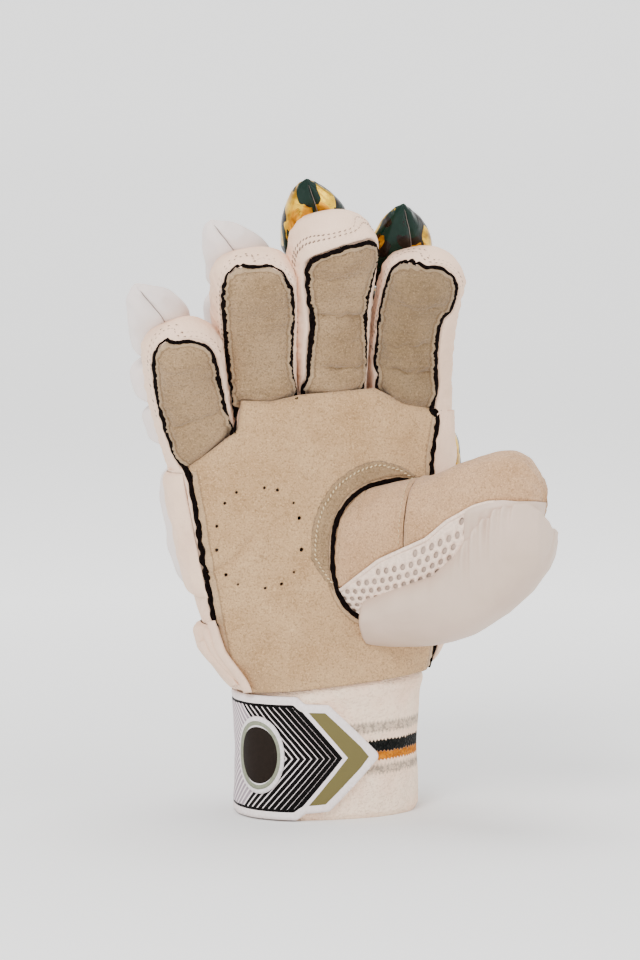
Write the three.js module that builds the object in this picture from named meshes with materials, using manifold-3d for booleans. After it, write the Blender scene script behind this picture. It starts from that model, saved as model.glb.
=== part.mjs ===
// Right-hand cricket batting glove, standing on its cuff with the fingers up.
// Millimetres. The palm faces -Y, the thumb side is +X and the fingers point to +Z.
// Every piece is a wall or pad cut from the same few lofted forms, a small clearance apart.

import * as THREE from 'three';
import { mergeVertices } from 'three/addons/utils/BufferGeometryUtils.js';
import Module from 'manifold-3d';

const wasm = await Module();
wasm.setup();

// Walls and clearances
const gap = 0.35;
const leatherWall = 2.0;
const towelWall = 3.2;
const bindingWidth = 2.2;
const facingWall = 1.1;

// The hand and the cuff
const palmLength = 125;
const handWidth = 124;
const handThickness = 42;
const cuffWidth = 77.5;
const cuffDepth = 52;
const wristHeight = 57;
const wristSlope = 0.088;
const cuffCentre = 8.2;

// The fingers
const fingerLength = 80;
const fingerWidth = 34;
const fingerThickness = 30;
const fingerDome = 13;
const panelCorner = 9;
const panelReach = 10;

// The padding
const fingerRollThickness = 16;
const handRollThickness = 19;
const wristRollThickness = 13;
const wristRollHeight = 32;
const sidePadThickness = 3;
const padClearance = 0.6;
const rollSpacing = 3;
const rollSpread = 0.39;

// The thumb
const thumbLength = 97;
const thumbHeight = 57;
const thumbDepth = 37;
const guardHeight = 72;
const guardDepth = 51;
const guardOverhang = 4;
const thumbRootAcross = 6;
const thumbRootFront = 4;
const thumbTurn = THREE.MathUtils.degToRad(-36.6);

// The wrist strap and the perforations
const strapWall = 2.6;
const strapMargin = 4.8;
const strapHeight = wristHeight - strapMargin;
const strapPoint = 20.7;
const strapReach = 13.5;
const strapStep = 3.5;
const strapClearance = 0.8;
const badgeHeight = 33;
const badgeWidth = 21;
const badgeWall = 1.3;
const perforationRadius = 0.9;
const perforationCount = 14;
const perforationWidth = 38;
const perforationHeight = 42;

// How finely the round forms are divided
const handSides = 20;
const fingerSides = 12;
const thumbSides = 16;
const roundness = 2.6;

const colours = {
  suede: 0xc4ae96,
  gusset: 0xe6dad0,
  binding: 0x17120f,
  white: 0xdcd8db,
  camouflage: 0x2f3d30,
  mesh: 0xddd2cb,
  towel: 0xdfd0c2,
  strap: 0xe4dddb,
  badge: 0x3a3735,
};

const finishes = {
  suede: { roughness: 0.95, metalness: 0 },
  gusset: { roughness: 0.6, metalness: 0 },
  binding: { roughness: 0.9, metalness: 0 },
  white: { roughness: 0.42, metalness: 0 },
  camouflage: { roughness: 0.28, metalness: 0.5 },
  mesh: { roughness: 0.8, metalness: 0 },
  towel: { roughness: 0.98, metalness: 0 },
  strap: { roughness: 0.45, metalness: 0 },
  badge: { roughness: 0.4, metalness: 0.2 },
};

const glove = new THREE.Group();

// Closed forms and how they are joined and cut

function signedPower(value, power) {
  return Math.sign(value) * Math.abs(value) ** power;
}

function signedVolume(points, faces) {
  const normal = new THREE.Vector3();
  let volume = 0;
  for (const [a, b, c] of faces) {
    volume += points[a].dot(normal.crossVectors(points[b], points[c])) / 6;
  }
  return volume;
}

function geometryFrom(points, faces) {
  const outward = signedVolume(points, faces) > 0;
  const geometry = new THREE.BufferGeometry();
  geometry.setAttribute('position', new THREE.Float32BufferAttribute(points.flatMap((p) => p.toArray()), 3));
  geometry.setIndex(faces.flatMap(([a, b, c]) => (outward ? [a, b, c] : [a, c, b])));
  return geometry;
}

function toSolid(geometry) {
  const bare = geometry.clone();
  bare.deleteAttribute('normal');
  bare.deleteAttribute('uv');
  const merged = mergeVertices(bare, 1e-4);
  return new wasm.Manifold(new wasm.Mesh({
    numProp: 3,
    vertProperties: new Float32Array(merged.attributes.position.array),
    triVerts: new Uint32Array(merged.index.array),
  }));
}

// A loft through closed rings of equal count, its two ends closed to a point.
function loft(rings, startPoint, endPoint) {
  const count = rings[0].length;
  const points = rings.flat();
  const faces = [];
  for (let row = 0; row + 1 < rings.length; row += 1) {
    for (let side = 0; side < count; side += 1) {
      const next = (side + 1) % count;
      const low = row * count;
      faces.push([low + side, low + next, low + count + next]);
      faces.push([low + side, low + count + next, low + count + side]);
    }
  }
  const last = (rings.length - 1) * count;
  const start = points.push(startPoint) - 1;
  const end = points.push(endPoint) - 1;
  for (let side = 0; side < count; side += 1) {
    const next = (side + 1) % count;
    faces.push([start, next, side]);
    faces.push([end, last + side, last + next]);
  }
  return toSolid(geometryFrom(points, faces));
}

// A sheet between an inner and an outer face, closed round its rim.
function sheet(rows, columns, place) {
  const points = [];
  const faces = [];
  const width = columns + 1;
  const layer = (rows + 1) * width;
  for (const side of [0, 1]) {
    for (let row = 0; row <= rows; row += 1) {
      for (let column = 0; column <= columns; column += 1) {
        points.push(place(row / rows, column / columns, side));
      }
    }
  }
  const quad = (a, b, c, d) => faces.push([a, b, c], [a, c, d]);
  for (let row = 0; row < rows; row += 1) {
    for (let column = 0; column < columns; column += 1) {
      const corner = row * width + column;
      quad(corner, corner + width, corner + width + 1, corner + 1);
      quad(layer + corner, layer + corner + 1, layer + corner + width + 1, layer + corner + width);
    }
  }
  for (let row = 0; row < rows; row += 1) {
    const first = row * width;
    const final = first + columns;
    quad(first, layer + first, layer + first + width, first + width);
    quad(final, final + width, layer + final + width, layer + final);
  }
  for (let column = 0; column < columns; column += 1) {
    const low = column;
    const high = rows * width + column;
    quad(low, low + 1, layer + low + 1, layer + low);
    quad(high, layer + high, layer + high + 1, high + 1);
  }
  return toSolid(geometryFrom(points, faces));
}

// An outline in X and Z, extruded from one depth in Y to another.
function prism(outline, front, back) {
  const shape = new THREE.Shape(outline.map(([x, z]) => new THREE.Vector2(x, z)));
  const geometry = new THREE.ExtrudeGeometry(shape, { depth: back - front, bevelEnabled: false });
  geometry.rotateX(Math.PI / 2);
  geometry.translate(0, back, 0);
  return toSolid(geometry);
}

function ovalOutline(centreX, centreZ, width, height, sides) {
  const outline = [];
  for (let side = 0; side < sides; side += 1) {
    const angle = (2 * Math.PI * side) / sides;
    outline.push([centreX + (width / 2) * Math.cos(angle), centreZ + (height / 2) * Math.sin(angle)]);
  }
  return outline;
}

function add(name, solid, look) {
  const mesh = solid.getMesh();
  const geometry = new THREE.BufferGeometry();
  geometry.setAttribute('position', new THREE.BufferAttribute(mesh.vertProperties, 3));
  geometry.setIndex(new THREE.BufferAttribute(mesh.triVerts, 1));
  const piece = new THREE.Mesh(geometry, new THREE.MeshStandardMaterial({ color: colours[look], ...finishes[look] }));
  piece.name = name;
  glove.add(piece);
}

// A smooth curve through the rows of a table, at a place given in the column named by key.
function readRows(rows, key, at) {
  let index = 0;
  while (index + 2 < rows.length && at > rows[index + 1][key]) index += 1;
  const share = THREE.MathUtils.clamp((at - rows[index][key]) / (rows[index + 1][key] - rows[index][key]), 0, 1);
  const result = {};
  for (const column of Object.keys(rows[index])) {
    const before = rows[Math.max(index - 1, 0)][column];
    const low = rows[index][column];
    const high = rows[index + 1][column];
    const after = rows[Math.min(index + 2, rows.length - 1)][column];
    const slopeLow = (high - before) / 2;
    const slopeHigh = (after - low) / 2;
    const square = share * share;
    const cube = square * share;
    result[column] = low * (2 * cube - 3 * square + 1) + slopeLow * (cube - 2 * square + share)
      + high * (3 * square - 2 * cube) + slopeHigh * (cube - square);
  }
  return result;
}

// The hand: rises are shares of the palm's length above the wrist seam,
// sides are shares of the hand's width and depths are shares of its thickness.
const handRows = [
  { rise: -0.14, left: -0.245, right: 0.377, middle: 0.000, depth: 0.600 },
  { rise: 0.00, left: -0.268, right: 0.400, middle: -0.010, depth: 0.592 },
  { rise: 0.12, left: -0.352, right: 0.440, middle: -0.020, depth: 0.555 },
  { rise: 0.30, left: -0.410, right: 0.476, middle: -0.024, depth: 0.520 },
  { rise: 0.50, left: -0.455, right: 0.498, middle: -0.024, depth: 0.500 },
  { rise: 0.75, left: -0.502, right: 0.512, middle: -0.012, depth: 0.455 },
  { rise: 1.00, left: -0.522, right: 0.506, middle: 0.012, depth: 0.365 },
  { rise: 1.12, left: -0.524, right: 0.500, middle: 0.020, depth: 0.340 },
];

function handSection(height) {
  const row = readRows(handRows, 'rise', (height - wristHeight) / palmLength);
  return {
    x: ((row.left + row.right) / 2) * handWidth,
    y: row.middle * handThickness,
    halfWidth: ((row.right - row.left) / 2) * handWidth,
    halfDepth: row.depth * handThickness,
  };
}

// A point on the hand, grown outwards; the turn is 0 at the thumb side and a quarter at the back.
function handPoint(height, turn, grow) {
  const { x, y, halfWidth, halfDepth } = handSection(height);
  const power = 2 / roundness;
  return new THREE.Vector3(
    x + (halfWidth + grow) * signedPower(Math.cos(turn), power),
    y + (halfDepth + grow) * signedPower(Math.sin(turn), power),
    height,
  );
}

function handForm(grow) {
  const rings = handRows.map(({ rise }) => {
    const height = wristHeight + rise * palmLength;
    return Array.from({ length: handSides }, (_, side) => handPoint(height, (2 * Math.PI * side) / handSides, grow));
  });
  const centre = ({ rise }) => {
    const height = wristHeight + rise * palmLength;
    const { x, y } = handSection(height);
    return new THREE.Vector3(x, y, height);
  };
  return loft(rings, centre(handRows[0]), centre(handRows.at(-1)));
}

// The cuff: heights are shares of the wrist height, widths and depths are shares of the cuff's own.
const cuffRows = [
  { height: 0.00, width: 1.000, depth: 1.000 },
  { height: 0.55, width: 0.985, depth: 0.975 },
  { height: 1.15, width: 1.040, depth: 0.960 },
];

function cuffForm(grow, below) {
  const ring = (row, height) => Array.from({ length: handSides }, (_, side) => {
    const turn = (2 * Math.PI * side) / handSides;
    return new THREE.Vector3(
      cuffCentre + (row.width * cuffWidth / 2 + grow) * signedPower(Math.cos(turn), 0.9),
      (row.depth * cuffDepth / 2 + grow) * signedPower(Math.sin(turn), 0.9),
      height,
    );
  });
  const rings = cuffRows.map((row) => ring(row, row.height * wristHeight - (row.height === 0 ? below : 0)));
  const top = cuffRows.at(-1).height * wristHeight;
  return loft(rings, new THREE.Vector3(cuffCentre, 0, -below), new THREE.Vector3(cuffCentre, 0, top));
}

// Everything below or above the slanted wrist seam, shifted up by a distance.
const reach = 200;

function wristSide(above, shift) {
  const seam = (x) => wristHeight + shift + wristSlope * (x - cuffCentre);
  const edge = above ? reach * 2 : -reach;
  return prism([[-reach, seam(-reach)], [reach, seam(reach)], [reach, edge], [-reach, edge]], -reach, reach);
}

// The creases under the fingers: places across are shares of the hand's width,
// rises are shares of the palm's length.
const creaseRows = [
  { across: -0.700, rise: 0.655 },
  { across: -0.449, rise: 0.750 },
  { across: -0.287, rise: 0.865 },
  { across: -0.270, rise: 0.962 },
  { across: -0.170, rise: 0.958 },
  { across: -0.068, rise: 0.978 },
  { across: 0.196, rise: 0.996 },
  { across: 0.300, rise: 0.945 },
  { across: 0.440, rise: 0.918 },
  { across: 0.700, rise: 0.900 },
];

function creaseSide(above, shift) {
  const line = creaseRows.map(({ across, rise }) => [
    across * handWidth,
    wristHeight + rise * palmLength + shift,
  ]);
  const edge = above ? reach * 2 : -reach;
  return prism([...line, [line.at(-1)[0], edge], [line[0][0], edge]], -reach, reach);
}

// The fingers: roots are shares of the hand's width and the palm's length, the length, width, tip
// band, slant of the panel and overhang of the last roll are shares of the middle finger's, the pull
// is the share of the width that the roll's point lies off its middle, and the angles are in degrees.
const fingers = [
  {
    name: 'middle', across: 0.066, rise: 0.985, length: 1.000, width: 1.08, root: 0.80,
    lean: 5.4, twist: -3, band: 0.100, slant: 0.16, pull: -0.06, overhang: 0.075, look: 'camouflage',
  },
  {
    name: 'index', across: 0.352, rise: 0.950, length: 0.840, width: 1.04, root: 1.02,
    lean: 4.6, twist: -14, band: 0.055, slant: 0.03, pull: -0.10, overhang: 0.130, look: 'camouflage',
  },
  {
    name: 'ring', across: -0.176, rise: 0.962, length: 0.820, width: 1.04, root: 0.83,
    lean: 8.6, twist: 0, band: 0.050, slant: 0.02, pull: -0.30, overhang: 0.075, look: 'white',
  },
  {
    name: 'pinky', across: -0.388, rise: 0.805, length: 0.700, width: 0.96, root: 0.94,
    lean: 17.5, twist: -8, band: 0.040, slant: 0.00, pull: -0.34, overhang: 0.120, look: 'white',
  },
];

const bendAtRoot = THREE.MathUtils.degToRad(4);
const bendAtTip = THREE.MathUtils.degToRad(42);

// How the thickness changes along a finger, in shares of its length, and how far its width has
// opened from its root to its full width.
const fingerRows = [
  { along: -0.30, open: -0.20, thick: 0.84 },
  { along: 0.00, open: 0.00, thick: 0.94 },
  { along: 0.30, open: 0.60, thick: 1.00 },
  { along: 0.60, open: 1.00, thick: 1.00 },
  { along: 1.00, open: 0.90, thick: 0.94 },
];

function fingerFrame(finger, along) {
  const length = finger.length * fingerLength;
  const lean = THREE.MathUtils.degToRad(finger.lean);
  const twist = THREE.MathUtils.degToRad(finger.twist);
  const up = new THREE.Vector3(-Math.sin(lean), 0, Math.cos(lean));
  const side = new THREE.Vector3(Math.cos(lean), 0, Math.sin(lean)).applyAxisAngle(up, -twist);
  const front = new THREE.Vector3().crossVectors(side, up);
  const curvature = (bendAtTip - bendAtRoot) / length;
  const bent = THREE.MathUtils.clamp(along, 0, length);
  const tilt = bendAtRoot + curvature * bent;
  const rise = (Math.sin(tilt) - Math.sin(bendAtRoot)) / curvature + (along - bent) * Math.cos(tilt);
  const forward = (Math.cos(bendAtRoot) - Math.cos(tilt)) / curvature + (along - bent) * Math.sin(tilt);
  const root = new THREE.Vector3(finger.across * handWidth, 0, wristHeight + finger.rise * palmLength);
  return {
    centre: root.addScaledVector(up, rise).addScaledVector(front, forward),
    side,
    palmar: front.clone().multiplyScalar(Math.cos(tilt)).addScaledVector(up, -Math.sin(tilt)),
  };
}

function fingerSection(finger, along) {
  const row = readRows(fingerRows, 'along', along / (finger.length * fingerLength));
  return {
    halfWidth: (finger.width * fingerWidth * THREE.MathUtils.lerp(finger.root, 1, row.open)) / 2,
    halfDepth: (fingerThickness * row.thick) / 2,
  };
}

// A point on a finger; the turn is 0 at the palm side, a quarter at the thumb side, a half at the back.
function fingerPoint(finger, along, turn, grow, shrink = 1) {
  const { centre, side, palmar } = fingerFrame(finger, along);
  const { halfWidth, halfDepth } = fingerSection(finger, along);
  const power = 2 / roundness;
  return centre
    .addScaledVector(side, (halfWidth + grow) * shrink * signedPower(Math.sin(turn), power))
    .addScaledVector(palmar, (halfDepth + grow) * shrink * signedPower(Math.cos(turn), power));
}

// The turn that lies a given distance from the palm side's middle line, measured on the surface.
function fingerTurn(finger, along, distance) {
  const { halfWidth, halfDepth } = fingerSection(finger, along);
  const power = 2 / roundness;
  const step = Math.PI / 90;
  let turn = 0;
  let travelled = 0;
  let x = 0;
  let y = halfDepth;
  while (turn < Math.PI) {
    const nextX = halfWidth * signedPower(Math.sin(turn + step), power);
    const nextY = halfDepth * signedPower(Math.cos(turn + step), power);
    const stride = Math.hypot(nextX - x, nextY - y);
    if (travelled + stride >= Math.abs(distance)) {
      return Math.sign(distance) * (turn + step * ((Math.abs(distance) - travelled) / stride));
    }
    travelled += stride;
    turn += step;
    x = nextX;
    y = nextY;
  }
  return Math.sign(distance) * Math.PI;
}

function fingerForm(finger, grow) {
  const length = finger.length * fingerLength;
  const shoulder = length - fingerDome;
  const rings = [];
  const ring = (along, shrink) => rings.push(Array.from({ length: fingerSides }, (_, side) => (
    fingerPoint(finger, along, (2 * Math.PI * side) / fingerSides, grow, shrink))));
  for (const share of [-0.30, 0.10, 0.45]) ring(share * length, 1);
  for (const angle of [0, 28, 52, 72]) {
    const lift = THREE.MathUtils.degToRad(angle);
    ring(shoulder + (fingerDome + grow) * Math.sin(lift), Math.cos(lift) ** 0.8);
  }
  const start = fingerFrame(finger, -0.30 * length).centre;
  return loft(rings, start, fingerFrame(finger, length + grow).centre);
}

// The tongue that cuts a finger's suede panel out of its wall, grown by a margin. Its end slants
// across the finger.
function fingerTongue(finger, margin) {
  const length = finger.length * fingerLength;
  const half = 0.40 * finger.width * fingerWidth;
  const corner = panelCorner + margin;
  const end = length - finger.band * fingerLength + margin;
  const stations = [-0.28 * length, 0.15 * length, 0.45 * length, end - corner];
  for (const angle of [45, 90]) stations.push(end - corner + corner * Math.sin(THREE.MathUtils.degToRad(angle)));
  const rows = stations.length - 1;
  return sheet(rows, 3, (a, b, side) => {
    const along = stations[Math.round(a * rows)];
    const { halfWidth } = fingerSection(finger, along);
    const opening = (2 * halfWidth) / (finger.width * fingerWidth);
    const into = Math.max(0, along - (end - corner));
    const edge = half * opening + margin - corner + Math.sqrt(Math.max(0, corner * corner - into * into));
    const distance = edge * (2 * b - 1);
    const drop = finger.slant * fingerLength * (along > 0 ? along / end : 0) ** 2;
    const turn = fingerTurn(finger, along, distance);
    const slanted = along - (drop * (half - distance)) / (2 * half);
    return fingerPoint(finger, slanted, turn, side === 0 ? -panelReach - margin : leatherWall);
  });
}

// One padded roll along the back of a finger, following it at the clearance.
function fingerRoll(finger, from, to, share) {
  const length = finger.length * fingerLength;
  return sheet(3, 5, (a, b, side) => {
    const along = THREE.MathUtils.lerp(from * length, to * length, a);
    const { halfWidth, halfDepth } = fingerSection(finger, along);
    const spread = rollSpread * (halfWidth + halfDepth);
    const turn = Math.PI + fingerTurn(finger, along, spread * (2 * b - 1));
    const crown = Math.sqrt(1 - 0.9 * (2 * b - 1) ** 2);
    const swell = 1 - 0.7 * Math.abs(2 * a - 1) ** 3;
    return fingerPoint(finger, along, turn, gap + side * share * fingerRollThickness * crown * swell);
  });
}

// The pointed last roll, past the finger's tip; sizes are shares of the roll's own, and the pull
// is the share of the point's own pull to the side.
const tipRows = [
  { along: 0.00, width: 0.84, thick: 0.62, pull: 0.00 },
  { along: 0.10, width: 0.97, thick: 0.90, pull: 0.00 },
  { along: 0.36, width: 1.00, thick: 1.00, pull: 0.08 },
  { along: 0.62, width: 0.88, thick: 0.90, pull: 0.30 },
  { along: 0.83, width: 0.52, thick: 0.60, pull: 0.68 },
  { along: 0.96, width: 0.16, thick: 0.24, pull: 0.94 },
];
const tipSides = 10;

function tipRoll(finger, from) {
  const length = finger.length * fingerLength;
  const start = from * length;
  const span = length + finger.overhang * fingerLength - start;
  const halfThick = 0.59 * fingerRollThickness;
  const width = finger.width * fingerWidth;
  const centreAt = (along, pull) => {
    const { centre, palmar, side } = fingerFrame(finger, along);
    const { halfDepth } = fingerSection(finger, along);
    return centre.addScaledVector(palmar, -(halfDepth + 0.55 * halfThick)).addScaledVector(side, pull * width);
  };
  const rings = tipRows.map((row) => {
    const along = start + row.along * span;
    const { side, palmar } = fingerFrame(finger, along);
    return Array.from({ length: tipSides }, (_, index) => {
      const turn = (2 * Math.PI * index) / tipSides;
      return centreAt(along, row.pull * finger.pull)
        .addScaledVector(side, 0.42 * width * row.width * signedPower(Math.sin(turn), 0.9))
        .addScaledVector(palmar, halfThick * row.thick * signedPower(Math.cos(turn), 0.9));
    });
  });
  return loft(rings, centreAt(start, 0), centreAt(start + span, finger.pull));
}

// The thumb: places along it are shares of its length, rises are shares of the palm's length,
// heights and depths are shares of the thumb's own.
const stallRows = [
  { along: -0.15, rise: 0.408, height: 0.920, depth: 0.66 },
  { along: 0.25, rise: 0.440, height: 1.015, depth: 0.92 },
  { along: 0.47, rise: 0.480, height: 1.000, depth: 1.00 },
  { along: 0.68, rise: 0.552, height: 0.975, depth: 1.00 },
  { along: 0.82, rise: 0.600, height: 0.860, depth: 0.90 },
  { along: 0.92, rise: 0.628, height: 0.620, depth: 0.68 },
  { along: 0.98, rise: 0.638, height: 0.290, depth: 0.34 },
];

const guardRows = [
  { along: 0.08, rise: 0.330, height: 0.640, depth: 0.66 },
  { along: 0.22, rise: 0.372, height: 0.860, depth: 0.86 },
  { along: 0.45, rise: 0.420, height: 1.000, depth: 0.98 },
  { along: 0.66, rise: 0.468, height: 1.000, depth: 1.00 },
  { along: 0.80, rise: 0.510, height: 0.890, depth: 0.94 },
  { along: 0.90, rise: 0.530, height: 0.690, depth: 0.80 },
  { along: 0.97, rise: 0.536, height: 0.440, depth: 0.54 },
  { along: 0.995, rise: 0.536, height: 0.220, depth: 0.26 },
];

// Seams on the thumb, by the share of its length and the share of the palm's length.
const guardSeam = [
  { along: -0.30, rise: -0.400 },
  { along: 0.19, rise: -0.400 },
  { along: 0.21, rise: 0.266 },
  { along: 0.38, rise: 0.328 },
  { along: 0.53, rise: 0.376 },
  { along: 0.62, rise: 0.456 },
  { along: 0.74, rise: 0.552 },
  { along: 0.82, rise: 0.600 },
  { along: 1.30, rise: 0.650 },
];

const meshSeam = [
  { along: -0.30, rise: 0.190 },
  { along: 0.13, rise: 0.328 },
  { along: 0.31, rise: 0.432 },
  { along: 0.53, rise: 0.512 },
  { along: 0.62, rise: 0.572 },
  { along: 0.74, rise: 0.624 },
  { along: 0.80, rise: 0.632 },
  { along: 0.86, rise: 0.606 },
  { along: 1.30, rise: 0.650 },
];

const backSeam = [
  { along: -0.30, rise: -0.400 },
  { along: 0.19, rise: -0.400 },
  { along: 0.21, rise: 0.330 },
  { along: 1.30, rise: 0.650 },
];

const thumbSplit = 0.42;

// Turns what is built along X, with the front at -Y, into the thumb's direction.
function atThumb(solid) {
  const matrix = new THREE.Matrix4().makeRotationZ(thumbTurn);
  matrix.setPosition(thumbRootAcross, -thumbRootFront, wristHeight);
  return solid.transform(matrix.toArray());
}

function thumbForm(rows, height, depth, grow, overhang) {
  const scale = (row) => row.along * (thumbLength + overhang);
  const rings = rows.map((row, index) => Array.from({ length: thumbSides }, (_, side) => {
    const turn = (2 * Math.PI * side) / thumbSides;
    const tip = index === rows.length - 1 ? grow : 0;
    return new THREE.Vector3(
      scale(row) + tip,
      ((depth * row.depth) / 2 + grow) * signedPower(Math.cos(turn), 0.88),
      row.rise * palmLength + ((height * row.height) / 2 + grow) * signedPower(Math.sin(turn), 0.88),
    );
  }));
  const first = rows[0];
  const last = rows.at(-1);
  const start = new THREE.Vector3(scale(first), 0, first.rise * palmLength);
  const end = new THREE.Vector3(thumbLength + overhang + grow, 0, last.rise * palmLength);
  return atThumb(loft(rings, start, end));
}

// The side of a thumb seam, in front of or behind the thumb's middle plane.
function seamSide(rows, above, shift, front, back) {
  const line = rows.map(({ along, rise }) => [along * thumbLength, rise * palmLength + shift]);
  const edge = above ? reach : -reach;
  return atThumb(prism([...line, [line.at(-1)[0], edge], [line[0][0], edge]], front, back));
}

function thumbSlice(from, to) {
  return atThumb(prism([[from, -reach], [to, -reach], [to, reach], [from, reach]], -reach, reach));
}

// The forms that the pieces are cut from
const handOuter = handForm(0);
const belowCrease = creaseSide(false, 0);
const handInner = handForm(-leatherWall).intersect(creaseSide(false, -leatherWall));
const handClearance = handForm(gap).intersect(creaseSide(false, gap));
const stallOuter = thumbForm(stallRows, thumbHeight, thumbDepth, 0, 0);
const stallInner = thumbForm(stallRows, thumbHeight, thumbDepth, -leatherWall, 0);
const fingerOuters = fingers.map((finger) => fingerForm(finger, 0));
const fingerInners = fingers.map((finger) => fingerForm(finger, -leatherWall));

// Each finger gives way to the ones before it in the table, so that pressed sides stay clear.
function yieldToEarlier(solid, index, clearance) {
  let result = solid;
  for (let other = 0; other < index; other += 1) {
    result = result.subtract(fingerForm(fingers[other], clearance));
  }
  return result;
}

// Fingers: the suede panel, its binding, the leather gusset and three rolls
fingers.forEach((finger, index) => {
  const outside = yieldToEarlier(fingerOuters[index], index, gap);
  const inside = yieldToEarlier(fingerInners[index], index, gap + leatherWall);
  const wall = outside.subtract(inside).intersect(creaseSide(true, gap));
  const panel = fingerTongue(finger, 0);
  const panelGap = fingerTongue(finger, gap);
  const bindingEdge = fingerTongue(finger, gap + bindingWidth);
  const gussetEdge = fingerTongue(finger, 2.5 * gap + bindingWidth);
  add(`${finger.name}_suede`, wall.intersect(panel), 'suede');
  add(`${finger.name}_binding`, wall.intersect(bindingEdge).subtract(panelGap), 'binding');
  add(`${finger.name}_gusset`, wall.subtract(gussetEdge), 'gusset');
  const firstRoll = fingerRoll(finger, 0.04, 0.30, 0.80).subtract(handClearance);
  add(`${finger.name}_roll_1`, firstRoll, finger.look);
  add(`${finger.name}_roll_2`, fingerRoll(finger, 0.33, 0.60, 0.92), finger.look);
  add(`${finger.name}_roll_tip`, tipRoll(finger, 0.63).subtract(fingerForm(finger, gap)), finger.look);
});

// The hand's wall, open to the cuff, the fingers and the thumb
let handWall = handOuter.intersect(belowCrease).subtract(handInner);
for (const inner of fingerInners) handWall = handWall.subtract(inner);
handWall = handWall.intersect(wristSide(true, gap));

// The suede palm's outline: shares of the hand's width and of the palm's length.
const palmRows = [
  { rise: -0.20, left: -0.245, right: 0.375 },
  { rise: -0.03, left: -0.276, right: 0.384 },
  { rise: 0.09, left: -0.325, right: 0.404 },
  { rise: 0.27, left: -0.360, right: 0.412 },
  { rise: 0.45, left: -0.394, right: 0.400 },
  { rise: 0.60, left: -0.416, right: 0.384 },
  { rise: 0.75, left: -0.446, right: 0.384 },
  { rise: 0.90, left: -0.490, right: 0.416 },
  { rise: 1.10, left: -0.520, right: 0.440 },
];

function palmShape(margin) {
  const heights = palmRows.map(({ rise }) => wristHeight + rise * palmLength);
  const left = palmRows.map((row, index) => [row.left * handWidth - margin, heights[index]]);
  const right = palmRows.map((row, index) => [row.right * handWidth + margin, heights[index]]);
  return prism([...left, ...right.reverse()], -reach, -0.02 * handThickness);
}

const thumbHole = thumbForm(stallRows, thumbHeight, thumbDepth, 2 * gap + bindingWidth, 0);
const holeEdge = thumbForm(stallRows, thumbHeight, thumbDepth, gap, 0);
const holeBindingEdge = thumbForm(stallRows, thumbHeight, thumbDepth, gap + bindingWidth, 0);

// The ring of small holes in the palm, spaced round a rounded oval.
function perforations() {
  const centreX = -0.245 * handWidth;
  const centreZ = wristHeight + 0.505 * palmLength;
  const holes = [];
  for (let index = 0; index < perforationCount; index += 1) {
    const turn = (2 * Math.PI * (index + 0.5)) / perforationCount;
    const x = centreX + (perforationWidth / 2) * signedPower(Math.cos(turn), 0.8);
    const z = centreZ + (perforationHeight / 2) * signedPower(Math.sin(turn), 0.8);
    holes.push(prism(ovalOutline(x, z, 2 * perforationRadius, 2 * perforationRadius, 5), -handThickness, 0));
  }
  return wasm.Manifold.union(holes);
}

add('palm_suede', handWall.intersect(palmShape(0)).subtract(thumbHole).subtract(perforations()), 'suede');

const palmBinding = handWall.intersect(palmShape(gap + bindingWidth))
  .subtract(palmShape(gap)).subtract(thumbHole);
const leftHalf = prism([[-reach, -reach], [0, -reach], [0, 2 * reach], [-reach, 2 * reach]], -reach, reach);
add('palm_binding_left', palmBinding.intersect(leftHalf), 'binding');
const thumbMiddle = wristHeight + 0.50 * palmLength;
const rightBinding = palmBinding.subtract(leftHalf);
const aboveThumb = (shift) => prism([[-reach, thumbMiddle + shift], [reach, thumbMiddle + shift],
  [reach, 2 * reach], [-reach, 2 * reach]], -reach, reach);
add('palm_binding_right', rightBinding.intersect(aboveThumb(gap / 2)), 'binding');
add('palm_binding_heel', rightBinding.subtract(aboveThumb(-gap / 2)), 'binding');
add('hand_gusset', handWall.subtract(palmShape(2 * gap + bindingWidth)).subtract(thumbHole), 'gusset');
add('thumb_hole_binding', handWall.intersect(holeBindingEdge).subtract(holeEdge), 'binding');

// The stitched facing beside the thumb hole, a crescent of suede on the palm
const facingOval = prism(
  ovalOutline(0.21 * handWidth, wristHeight + 0.45 * palmLength, 0.46 * handWidth, 0.61 * palmLength, 24),
  -reach,
  -0.2 * handThickness,
);
const facingHole = thumbForm(stallRows, thumbHeight, thumbDepth, 3 * gap + 1.4 * bindingWidth, 0);
const facingFoot = wristHeight + 0.32 * palmLength;
const facingEnd = 0.24 * handWidth;
const facingLimit = prism([[-reach, facingFoot], [facingEnd, facingFoot], [facingEnd, 2 * reach], [-reach, 2 * reach]], -reach, 0);
add('thumb_facing', handForm(gap + facingWall).subtract(handForm(gap)).intersect(facingOval)
  .intersect(facingLimit).subtract(facingHole), 'suede');

// Thumb: suede in two panels, the mesh strip and the padded guard
const stallWall = stallOuter.subtract(stallInner).subtract(handForm(-leatherWall));
const frontHalf = [-reach, 0];
const backHalf = [0, reach];
const suedeSide = seamSide(meshSeam, true, gap, ...frontHalf).add(seamSide(backSeam, true, gap, ...backHalf));
const stallSuede = stallWall.intersect(suedeSide);
const split = thumbSplit * thumbLength;
add('thumb_suede_base', stallSuede.intersect(thumbSlice(-reach, split - gap / 2)), 'suede');
add('thumb_suede_tip', stallSuede.intersect(thumbSlice(split + gap / 2, reach)), 'suede');
add('thumb_mesh', stallWall.intersect(seamSide(meshSeam, false, 0, ...frontHalf))
  .intersect(seamSide(guardSeam, true, gap, ...frontHalf)), 'mesh');

const guardOuter = thumbForm(guardRows, guardHeight, guardDepth, 0, guardOverhang);
const guardSide = seamSide(guardSeam, false, 0, ...frontHalf).add(seamSide(backSeam, false, 0, ...backHalf));
add('thumb_guard', guardOuter.subtract(stallInner).intersect(guardSide)
  .subtract(handForm(2 * gap + facingWall)), 'white');

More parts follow.
